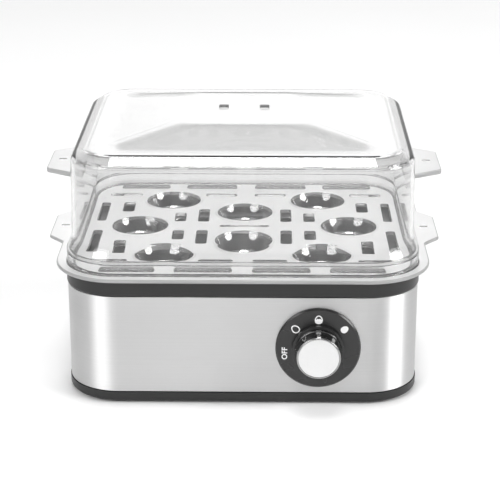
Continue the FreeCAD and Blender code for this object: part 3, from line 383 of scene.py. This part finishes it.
def paint(faces, material):
    """Gives faces a material by its place in the list; a fill also hands over edges, left alone."""
    for face in faces:
        if isinstance(face, bmesh.types.BMFace):
            face.material_index = material


def skins(bm, loops, material=0):
    for first, second in zip(loops, loops[1:]):
        paint(skin(bm, first, second), material)


def cap(bm, *loops):
    """A flat face inside the first loop, with the other loops as holes."""
    edges = []
    for ring in loops:
        for i in range(len(ring)):
            pair = (ring[i - 1], ring[i])
            edges.append(bm.edges.get(pair) or bm.edges.new(pair))
    return bmesh.ops.triangle_fill(bm, use_beauty=True, edges=edges)["geom"]


def rounded(half_x, half_y, radius, level, side=(), steps=CORNER_STEPS):
    """Counter-clockwise rounded rectangle with straight halves half_x and half_y, and points for
    the tabs along its left and right sides."""
    points = []
    share = min(1.0, half_y / STRAIGHT_Y)
    for turn, (sign_x, sign_y) in enumerate(((1, -1), (1, 1), (-1, 1), (-1, -1))):
        for k in range(steps + 1):
            angle = math.radians(90 * turn - 90 + 90 * k / steps)
            points.append((sign_x * half_x + radius * math.cos(angle),
                           sign_y * half_y + radius * math.sin(angle), level))
        if turn == 0:
            points += [(half_x + radius, y * share, level) for y in side]
        if turn == 2:
            points += [(-half_x - radius, y * share, level) for y in reversed(side)]
    return points


def eased(keys, steps=4):
    """A path of key rows, each a tuple of numbers with its easing length last, with round corners."""
    rows = [(Vector(key[:4]), key[4]) for key in keys]
    path = [rows[0][0]]
    for (before, _), (corner, reach), (after, _) in zip(rows, rows[1:], rows[2:]):
        if reach <= 0:
            path.append(corner)
            continue
        ends = []
        for other in (before, after):
            length = math.hypot((other[0] + other[2]) - (corner[0] + corner[2]), other[3] - corner[3])
            ends.append(corner.lerp(other, min(0.48, reach / max(length, 1e-6))))
        for k in range(steps + 1):
            t = k / steps
            path.append(ends[0] * (1 - t) ** 2 + corner * 2 * t * (1 - t) + ends[1] * t ** 2)
    path.append(rows[-1][0])
    return path


def outline_normals(points):
    """Mitred outward directions of a counter-clockwise outline."""
    normals = []
    for i in range(len(points)):
        a, b, c = (Vector(points[(i + k) % len(points)][:2]) for k in (-1, 0, 1))
        first, second = (b - a).normalized(), (c - b).normalized()
        n1, n2 = Vector((first.y, -first.x)), Vector((second.y, -second.x))
        middle = (n1 + n2).normalized()
        normals.append(middle / max(middle.dot(n1), 0.5))
    return normals


def moved(points, normals, distance, level):
    """An outline grown by a distance, at a level."""
    return [(p[0] + n.x * distance, p[1] + n.y * distance, level) for p, n in zip(points, normals)]


def quarter(radius, steps=3):
    """Inset and drop of a rounded edge, from the flat face to the side."""
    angles = [math.pi / 2 * k / steps for k in range(steps + 1)]
    return [(radius * (1 - math.sin(angle)), radius * (1 - math.cos(angle))) for angle in angles]


def rounded_edge(top, low, top_radius, low_radius, way=-1.0):
    """Distance and level rows from a plate's top face to its bottom face: way -1 around the plate's
    outer edge, 1 around a hole."""
    rows = [(way * inset, top - drop) for inset, drop in quarter(top_radius)]
    return rows + [(way * inset, low + drop) for inset, drop in reversed(quarter(low_radius))]


def corner_arc(corner, before, after, radius, steps=6):
    """Points of a rounded corner of a polygon."""
    b, a, c = Vector(corner), Vector(before), Vector(after)
    to_a, to_c = (a - b).normalized(), (c - b).normalized()
    half = to_a.angle(to_c) / 2
    centre = b + (to_a + to_c).normalized() * radius / math.sin(half)
    start, end = b + to_a * radius / math.tan(half), b + to_c * radius / math.tan(half)
    first = math.atan2(start.y - centre.y, start.x - centre.x)
    sweep = math.atan2(end.y - centre.y, end.x - centre.x) - first
    sweep = (sweep + math.pi) % (2 * math.pi) - math.pi
    return [(centre.x + radius * math.cos(first + sweep * k / steps),
             centre.y + radius * math.sin(first + sweep * k / steps)) for k in range(steps + 1)]


def lathe(bm, profile, centre, steps=96):
    """Turns (radius, y) rows about the line along Y through centre, which is an (x, z) pair."""
    turns = [2 * math.pi * k / steps for k in range(steps)]
    loops = []
    for radius, y in profile:
        loops.append(loop(bm, [(centre[0] + radius * math.sin(turn), y, centre[1] + radius * math.cos(turn))
                               for turn in turns]))
    skins(bm, loops)
    cap(bm, loops[0])
    cap(bm, loops[-1])


# ---- Shared plan of the housing ------------------------------------------------------------

BAND_HIGH = box_mm("housing_band")[1]
TRAY_HIGH = box_mm("egg_tray")[1]
LID_LOW, LID_HIGH = box_mm("lid")
CORNER = 31.5                                     # corner radius of the housing
HALF_X = BAND_HIGH.x - CORNER                     # straight halves of its sides
HALF_Y = BAND_HIGH.y - CORNER
STRAIGHT_Y = 58.0                                 # straight half that the tab points are laid out for
TAB_REACH = LID_HIGH.x                            # outer edge of the side tabs
TAB_END = 19.0                                    # half the length of that edge
TAB_ROUND = 3.5                                   # corner radius of the tabs
LID_SIDE = [-30.0 + 3.0 * k for k in range(21)]   # points along the lid's sides, where the tabs grow
DASH = (5.0, 1.0, 0.48)                           # length, width and corner radius of a tab's mark
DASH_X, DASH_HEIGHT = 113.5, 0.45


def at(offset, level, reach=0.0):
    """A key row: the housing's plan moved outwards by offset, at a level."""
    return (HALF_X, HALF_Y, CORNER + offset, level, reach)


# ---- Lid -----------------------------------------------------------------------------------

LID_VENT, LID_EDGE, LID_FROST = 1, 2, 3          # places in the lid's list of materials
ROOF, LID_WALL, FOOT_WALL = 2.0, 2.0, 1.6        # thicknesses of the top, the wall and its foot
RIM_DROP = 8.0                                   # from the raised panel down to the rim around it
SHOULDER, SKIRT, FOOT = 145.7, 97.0, 89.6        # levels where the outside bends, from above
RIM_IN, SHOULDER_IN, SKIRT_IN = 13.0, 4.3, 3.4   # how far the outside lies within the housing there
SLOPE_X, SLOPE_Y = HALF_X - 6.0, HALF_Y - 6.0    # straight halves at the foot of the panel's slope
SLOPE_CORNER = CORNER - 19.3
PANEL_HALF, PANEL_CORNER = 24.8, 13.7            # the raised panel is square
PANEL_INNER = 5.5                                # corner of the flat face that holds the vents
LID_TAB_LOW, LID_TAB_HIGH = 122.5, 125.5
LID_TAB_EDGE = 0.7
VENT_X, VENT_Y = 12.6, 2.45
VENT_MOUTH, VENT_WAIST = (6.0, 10.1, 1.4), (5.2, 9.3, 1.0)   # width, length and corner radius
WAIST_DROPS = (1.6, 0.4)                         # ends of the waist, measured from the top


def panel(corner, level, reach=0.0):
    """A key row of the lid's raised panel."""
    return (PANEL_HALF, PANEL_HALF, corner, level, reach)


def lid_rows():
    """The lid's section, from the middle of its underside round the foot to the middle of its top."""
    floor, top = LID_LOW.z + 0.08, LID_HIGH.z
    rim = top - RIM_DROP
    slope = (SHOULDER_IN - SKIRT_IN) / (SHOULDER - SKIRT)
    return eased([
        panel(PANEL_INNER - 0.5, top - ROOF), panel(PANEL_CORNER - 0.5, top - ROOF, 7.0),
        (SLOPE_X, SLOPE_Y, SLOPE_CORNER - 1.0, rim - ROOF, 6.0),
        at(-RIM_IN - 1.0, rim - ROOF, 1.6), at(-SHOULDER_IN - LID_WALL, SHOULDER, 3.0),
        at(-SKIRT_IN - LID_WALL, SKIRT, 2.5), at(-FOOT_WALL, FOOT, 1.2),
        at(-FOOT_WALL, floor, 0.35), at(0.0, floor, 0.35), at(0.0, FOOT, 0.8), at(-SKIRT_IN, SKIRT, 2.5),
        at(-SKIRT_IN - slope * (LID_TAB_LOW - SKIRT), LID_TAB_LOW),
        at(-SKIRT_IN - slope * (LID_TAB_HIGH - SKIRT), LID_TAB_HIGH),
        at(-SHOULDER_IN, SHOULDER, 2.2), at(-RIM_IN, rim, 1.3),
        (SLOPE_X, SLOPE_Y, SLOPE_CORNER, rim, 6.0),
        panel(PANEL_CORNER, top, 7.0), panel(PANEL_INNER, top),
    ])


def vents(bm, inner_ring, outer_ring):
    """Closes the panel's two faces around the vents, and lines the vents, which have a narrow waist."""
    top = LID_HIGH.z
    ends = []
    for level, ring in ((top - ROOF, inner_ring), (top, outer_ring)):
        holes = [loop(bm, slot_loop(side * VENT_X, VENT_Y, *VENT_MOUTH, level)) for side in (-1, 1)]
        cap(bm, ring, *holes)
        ends.append(holes)
    for side, inner, outer in zip((-1, 1), *ends):
        waist = [loop(bm, slot_loop(side * VENT_X, VENT_Y, *VENT_WAIST, top - drop))
                 for drop in WAIST_DROPS]
        # The vents' walls take the opaque grey material: painted shade.
        skins(bm, [inner, *waist, outer], LID_VENT)


def lid_tab(bm, under, over, side):
    """A trapezoid handle tab grown out of the wall between two rows of its vertices."""
    wall = [(v.co.x / MM, v.co.y / MM) for v in over]
    first, last = wall[0], wall[-1]
    ends = ((side * TAB_REACH, side * -TAB_END), (side * TAB_REACH, side * TAB_END))
    near_arc = corner_arc(ends[0], first, ends[1], TAB_ROUND)
    far_arc = corner_arc(ends[1], ends[0], last, TAB_ROUND)
    straight = len(wall) - len(near_arc) - len(far_arc) - 2
    start = near_arc[-1][1]
    front = [(ends[0][0], start * (1 - 2 * k / (straight + 1))) for k in range(1, straight + 1)]
    outline = [(x, y, 0.0) for x, y in (first, *near_arc, *front, *far_arc, last)]
    normals = outline_normals(outline)
    high, low = over[0].co.z / MM, under[0].co.z / MM
    rows = rounded_edge(high, low, LID_TAB_EDGE, LID_TAB_EDGE)
    loops = []
    for index, (inset, level) in enumerate(rows):
        root = over if 2 * index < len(rows) - 1 else under
        loops.append([root[0], *loop(bm, moved(outline, normals, inset, level)[1:-1]), root[-1]])
    dash = pad(bm, slot_loop(side * DASH_X, 0.0, *DASH), high, DASH_HEIGHT)
    paint(cap(bm, list(over) + loops[0][-2:0:-1], dash), LID_FROST)
    sheets = loops + [under]
    for a, b in zip(sheets, sheets[1:]):
        for i in range(len(a) - 1):
            corners = list(dict.fromkeys((a[i], a[i + 1], b[i + 1], b[i])))
            if len(corners) > 2:
                face = bm.faces.new(corners)
                # The tab's rounded edges take the darker edge material: painted shade along the edges.
                face.material_index = 0 if b is under else LID_EDGE


def make_lid(looks):
    """One closed shell swept along the housing's plan, with its tabs and vents."""
    path = lid_rows()
    bm = bmesh.new()
    loops = [loop(bm, rounded(*row, LID_SIDE)) for row in path]
    low = next(i for i, row in enumerate(path) if abs(row[3] - LID_TAB_LOW) < 1e-4)
    count = len(LID_SIDE)
    corner_points = CORNER_STEPS + 1
    starts = (corner_points, 3 * corner_points + count)
    gaps = {start + k for start in starts for k in range(count - 1)}
    for i, (first, second) in enumerate(zip(loops, loops[1:])):
        skin(bm, first, second, gaps if i == low else ())
    for start, side in zip(starts, SIDES):
        lid_tab(bm, loops[low][start:start + count], loops[low + 1][start:start + count], side)
    vents(bm, loops[0], loops[-1])
    lid = as_object("lid_shell", bm)
    for look in ("clear_lid", "vent_painted_shade", "edge_frost_painted_shade", "tray_frost"):
        lid.data.materials.append(looks[look])
    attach(lid, "lid")
    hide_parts("lid")


# ---- Egg tray ------------------------------------------------------------------------------

TRAY_FROST, TRAY_EDGE, TRAY_CUP = 1, 2, 3   # places in the tray's list of materials
PLATE_TOP = 81.6
PLATE_LOW = PLATE_TOP - 2.2
FLANGE = 6.4                                # how far the flange stands out past the housing
FLANGE_EDGE = 0.8
FLANGE_STEPS = 12
TAB_ROOT, ROOT_ROUND = 37.5, 3.0            # half length of a tab at the housing's side, and its fillet
# Steam slots: middle (x, y), width and length of one of four that mirror each other.
SLOTS = (
    (76.3, 37.1, 6.8, 18.0), (41.3, 17.1, 6.5, 16.0), (26.4, 20.7, 6.4, 24.0), (92.8, 27.5, 5.8, 36.0),
    (80.2, 62.2, 21.0, 4.5), (16.3, 62.2, 20.0, 4.5),
)
MIDDLE_SLOT = (30.6, 2.6, 1.25)             # width, length and corner radius
WALL_OUT, WALL_IN = 1.9, 3.2                # how far the rim wall's faces lie within the housing's plan
CUPS = [(0.0, 26.9), (0.0, -26.9), (66.3, 0.0), (-66.3, 0.0),
        (47.7, 50.8), (-47.7, 50.8), (47.7, -50.8), (-47.7, -50.8)]
# Each cup is cut from a ball, whose middle lies above the plate.
CUP_RADIUS, CUP_WALL, CUP_RISE, CUP_LOW = 19.0, 1.6, 6.85, 72.6
CUP_STEPS = 56
# The rolled lip around a cup's mouth: reach past the mouth and height over the plate.
LIP = ((1.6, 0.0), (1.4, 0.2), (1.1, 0.5), (0.75, 0.6), (0.4, 0.5), (0.1, 0.2))
PADS = ((6.3, 40.0), (52.0, 84.0))          # ends of the raised panels along the long edges
PAD_Y, PAD_WIDTH, PAD_ROUND, PAD_HEIGHT = 78.6, 6.0, 1.6, 0.9


def tray_outline():
    """The flange with its two tabs, counter-clockwise from the right side."""
    edge_x, edge_y = HALF_X + CORNER + FLANGE, HALF_Y + CORNER + FLANGE
    lean = (TAB_REACH - (edge_x - FLANGE)) / (TAB_ROOT - TAB_END)
    root = TAB_ROOT - FLANGE / lean
    points = []
    for side in SIDES:
        start, end = (edge_x * side, -root * side), (edge_x * side, root * side)
        tips = ((TAB_REACH * side, -TAB_END * side), (TAB_REACH * side, TAB_END * side))
        points += corner_arc(start, (edge_x * side, -HALF_Y * side), tips[0], ROOT_ROUND, 3)
        points += corner_arc(tips[0], start, tips[1], TAB_ROUND)
        points += corner_arc(tips[1], tips[0], end, TAB_ROUND)
        points += corner_arc(end, tips[1], (edge_x * side, HALF_Y * side), ROOT_ROUND, 3)
        for turn, sign_x in ((0, side), (1, -side)):
            first = 90 * turn + (0 if side > 0 else 180)
            for k in range(FLANGE_STEPS + 1):
                angle = math.radians(first + 90 * k / FLANGE_STEPS)
                points.append((sign_x * HALF_X + (edge_x - HALF_X) * math.cos(angle),
                               side * HALF_Y + (edge_y - HALF_Y) * math.sin(angle)))
    return [(x, y, 0.0) for x, y in points]


def slot_loop(x, y, width, length, radius=1.5, level=0.0):
    """A small rounded rectangle around (x, y)."""
    return [(px + x, py + y, level) for px, py, _ in
            rounded(width / 2 - radius, length / 2 - radius, radius, level, steps=4)]


def pad(bm, points, level, height):
    """A shallow raised panel; gives back the loop where it meets the plate."""
    normals = outline_normals(points)
    rows = [(0.35, level), (0.05, level + height * 0.3), (0.0, level + height - 0.3),
            (-0.09, level + height - 0.09), (-0.35, level + height)]
    loops = [loop(bm, moved(points, normals, inset, z)) for inset, z in rows]
    skins(bm, loops)
    cap(bm, loops[-1])
    return loops[0]


def ball(radius, drop):
    """Radius of a ball's cut at a distance from its middle."""
    return math.sqrt(radius ** 2 - drop ** 2)


def cup_profile():
    """Radius and level rows of a cup: lip, bowl, bottom hole and outside."""
    centre = PLATE_TOP + CUP_RISE
    low = CUP_LOW
    outer = CUP_RADIUS + CUP_WALL
    mouth = ball(CUP_RADIUS, CUP_RISE)
    rows = [(mouth + reach, PLATE_TOP + rise) for reach, rise in LIP]
    for k in range(11):
        level = PLATE_TOP - 0.15 + (low + 0.6 - PLATE_TOP) * k / 10
        rows.append((ball(CUP_RADIUS, centre - level), level))
    inner, bottom = ball(CUP_RADIUS, centre - low), ball(outer, centre - low - 0.5)
    rows += [(inner, low + 0.25), (inner + 0.3, low), (bottom - 0.6, low), (bottom - 0.1, low + 0.2)]
    for k in range(9):
        level = low + 0.5 + (PLATE_LOW - low - 0.5) * k / 8
        rows.append((ball(outer, centre - level), level))
    return rows


def tray_slots(bm):
    """The walls of the steam slots; gives back their loops in the plate's top and bottom faces."""
    shapes = [slot_loop(sx * x, sy * y, width, length)
              for x, y, width, length in SLOTS for sx in SIDES for sy in SIDES]
    shapes.append(slot_loop(0.0, 0.0, *MIDDLE_SLOT))
    tops, lows = [], []
    for points in shapes:
        normals = outline_normals(points)
        rows = rounded_edge(PLATE_TOP, PLATE_LOW, 0.45, 0.3, way=1.0)
        loops = [loop(bm, moved(points, normals, inset, level)) for inset, level in rows]
        skins(bm, loops)
        tops.append(loops[0])
        lows.append(loops[-1])
    return tops, lows


def tray_cups(bm):
    """The egg cups; gives back their loops in the plate's top and bottom faces."""
    profile = cup_profile()
    turns = [2 * math.pi * k / CUP_STEPS for k in range(CUP_STEPS)]
    tops, lows = [], []
    for x, y in CUPS:
        loops = []
        for radius, level in profile:
            loops.append(loop(bm, [(x + radius * math.cos(turn), y + radius * math.sin(turn), level)
                                   for turn in turns]))
        skins(bm, loops[:len(LIP)], TRAY_FROST)
        skins(bm, loops[len(LIP) - 1:], TRAY_CUP)
        tops.append(loops[0])
        lows.append(loops[-1])
    return tops, lows


def tray_pads(bm):
    """The raised panels along the long edges; gives back their loops in the plate's top face."""
    made = []
    for near, far in PADS:
        for sx in SIDES:
            for sy in SIDES:
                outline = slot_loop(sx * (near + far) / 2, sy * PAD_Y, far - near, PAD_WIDTH, PAD_ROUND)
                made.append(pad(bm, outline, PLATE_TOP, PAD_HEIGHT))
    return made


def make_tray(looks):
    """A flange and plate in one sheet, with the rim wall that holds the lid, cups, slots and pads."""
    bm = bmesh.new()
    outline = tray_outline()
    normals = outline_normals(outline)
    rows = rounded_edge(PLATE_TOP, PLATE_LOW, FLANGE_EDGE, FLANGE_EDGE)
    edge = [loop(bm, moved(outline, normals, inset, level)) for inset, level in rows]
    # The flange's rounded edge takes the darker edge material: painted shade along the edge.
    skins(bm, edge, TRAY_EDGE)
    wall_top, step = TRAY_HIGH.z, LID_LOW.z
    wall = eased([
        at(1.2, PLATE_TOP), at(0.0, PLATE_TOP, 0.6), at(0.0, step, 0.4), at(-WALL_OUT, step, 0.2),
        at(-WALL_OUT, wall_top, 0.45), at(-WALL_IN, wall_top, 0.45), at(-WALL_IN, PLATE_TOP, 0.9),
        at(-WALL_IN - 1.6, PLATE_TOP),
    ])
    wall_loops = [loop(bm, rounded(*row, steps=12)) for row in wall]
    skins(bm, wall_loops)
    dashes = [pad(bm, slot_loop(side * DASH_X, 0.0, *DASH), PLATE_TOP, DASH_HEIGHT) for side in SIDES]
    paint(cap(bm, edge[0], wall_loops[0], *dashes), TRAY_FROST)
    slot_tops, slot_lows = tray_slots(bm)
    cup_tops, cup_lows = tray_cups(bm)
    paint(cap(bm, wall_loops[-1], *slot_tops, *cup_tops, *tray_pads(bm)), TRAY_FROST)
    cap(bm, edge[-1], *slot_lows, *cup_lows)
    tray = as_object("tray_shell", bm)
    for look in ("clear_tray", "tray_frost", "edge_frost_painted_shade", "cup_clear"):
        tray.data.materials.append(looks[look])
    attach(tray, "tray")
    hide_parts("egg_tray")


# ---- Knob and dial -------------------------------------------------------------------------

DIAL_LOW, DIAL_HIGH = box_mm("dial_plate")
CAP_LOW, CAP_HIGH = box_mm("knob_cap")
DIAL_CENTRE = ((DIAL_LOW.x + DIAL_HIGH.x) / 2, (DIAL_LOW.z + DIAL_HIGH.z) / 2)
FACE_RADIUS, BACK_RADIUS = 12.9, 14.0            # the knob's cap, in front and behind
DISC_RADIUS = FACE_RADIUS - 1.02                 # the satin face inside the rolled rim
# Share of the cap's length, and swell of its side there: a smooth side with a groove near the back.
CAP_SIDE = ((0.10, 0.0), (0.45, 0.06), (0.70, 0.0), (0.74, -0.35), (0.78, -0.35), (0.82, 0.0))
EGG, EGG_HOLE, SMALL_EGG = (4.7, 5.5), (3.4, 4.2), (4.1, 4.9)   # width and height
SOFT_PLACE, MEDIUM_PLACE, HARD_PLACE = (-13.5, 12.5), (0.1, 18.5), (15.4, 12.4)
SOFT_TURN, HARD_TURN = -48, 51                   # degrees clockwise from upright
# The wavy top of the half-full egg, from right to left.
WAVE = [(1.45, 0.0), (0.75, 0.75), (0.0, 0.35), (-0.75, 0.75), (-1.45, 0.0)]
OFF_PLACE, OFF_SIZE = (-19.7, -3.1), 4.5
PRINT_REAR, PRINT_FRONT = 0.05, -0.04            # behind and in front of the dial's face


def make_knob(looks):
    """Chromed cap with a rolled rim around a slightly sunk satin face."""
    front, rear = CAP_LOW.y, CAP_HIGH.y
    face, back = FACE_RADIUS, BACK_RADIUS
    bm = bmesh.new()
    profile = [(face - 1.0, front + 0.9), (face - 0.95, front + 0.14), (face - 0.75, front + 0.02),
               (face - 0.45, front), (face - 0.18, front + 0.1), (face, front + 0.38)]
    length = rear - front
    for share, swell in CAP_SIDE:
        profile.append((face + (back - face) * share + swell, front + length * share))
    profile += [(back, rear - 0.3), (back - 0.25, rear), (back - 1.2, rear)]
    lathe(bm, profile, DIAL_CENTRE)
    rim = as_object("knob_rim", bm, 40.0)
    rim.data.materials.append(looks["knob_chrome"])
    bm = bmesh.new()
    rows = [(DISC_RADIUS, front + 0.8), (DISC_RADIUS, front + 0.22), (face - 1.2, front + 0.12),
            (8.0, front + 0.09), (4.0, front + 0.07), (0.05, front + 0.06)]
    lathe(bm, rows, DIAL_CENTRE)
    disc = as_object("knob_disc", bm, 40.0)
    disc.data.materials.append(looks["knob_face"])
    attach(rim, "knob")
    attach(disc, "knob")
    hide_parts("knob_cap")


def egg_points(width, height, turn, steps=48):
    """An upright egg outline, turned clockwise by an angle in degrees."""
    points = []
    tilt = math.radians(turn)
    for k in range(steps):
        angle = 2 * math.pi * k / steps
        x = width / 2 * math.sin(angle) * (1 - 0.13 * math.cos(angle))
        z = height / 2 * math.cos(angle)
        points.append((x * math.cos(tilt) + z * math.sin(tilt), z * math.cos(tilt) - x * math.sin(tilt)))
    return points


def flat_print(name, looks, outlines, origin):
    """Thin raised print on the dial: an outer outline, then its holes."""
    middle_x, middle_z = DIAL_CENTRE[0] + origin[0], DIAL_CENTRE[1] + origin[1]
    bm = bmesh.new()
    faces = []
    for lift in (PRINT_REAR, PRINT_FRONT):
        faces.append([loop(bm, [(middle_x + x, DIAL_LOW.y + lift, middle_z + z) for x, z in points])
                      for points in outlines])
        cap(bm, *faces[-1])
    for rear, near in zip(*faces):
        skin(bm, rear, near)
    made = as_object(name, bm)
    made.data.materials.append(looks["pointer_white"])
    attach(made, "base")


def make_marks(looks):
    """The word OFF and three eggs: an outline, one half full and one full."""
    ring = [egg_points(*size, SOFT_TURN) for size in (EGG, EGG_HOLE)]
    flat_print("mark_soft", looks, ring, SOFT_PLACE)
    upper = sorted(point for point in egg_points(*EGG_HOLE, 0) if point[1] >= 0.0)
    flat_print("mark_medium", looks, [egg_points(*EGG, 0), upper + WAVE], MEDIUM_PLACE)
    flat_print("mark_hard", looks, [egg_points(*SMALL_EGG, HARD_TURN)], HARD_PLACE)
    text = bpy.data.curves.new("mark_off", "FONT")
    text.body = "OFF"
    text.size = OFF_SIZE * MM
    text.extrude = -PRINT_FRONT * MM
    text.offset = 0.1 * MM
    text.align_x = "CENTER"
    text.align_y = "CENTER"
    word = bpy.data.objects.new("mark_off", text)
    bpy.context.scene.collection.objects.link(word)
    turn = Matrix(((0, -1, 0), (0, 0, -1), (1, 0, 0))).to_4x4()
    word.matrix_world = Matrix.Translation(
        Vector((DIAL_CENTRE[0] + OFF_PLACE[0], DIAL_LOW.y, DIAL_CENTRE[1] + OFF_PLACE[1])) * MM) @ turn
    text.materials.append(looks["pointer_white"])
    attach(word, "base")


# ---- Build ---------------------------------------------------------------------------------

BOUNCES = 32   # enough to see through all the clear walls
scene = bpy.context.scene
scene.view_settings.view_transform = "Standard"
scene.cycles.max_bounces = BOUNCES
scene.cycles.transmission_bounces = BOUNCES
scene.cycles.transparent_max_bounces = BOUNCES
make_camera()
make_world()
make_floor()
make_light("key_left", -44.0, 33.0, 3.0, (1.9, 1.9), 46.0)
make_light("key_right", 72.0, 26.0, 3.0, (1.6, 1.6), 60.0)
make_light("overhead", 180.0, 85.0, 3.2, (1.4, 1.3), 50.0)
make_light("back_wash", 180.0, 26.0, 2.6, (3.4, 1.0), 3.4, aim=(0.0, 0.9, 0.0))
LOOKS = make_materials()
dress_nodes(LOOKS)
make_lid(LOOKS)
make_tray(LOOKS)
make_knob(LOOKS)
make_marks(LOOKS)
bpy.context.view_layer.update()
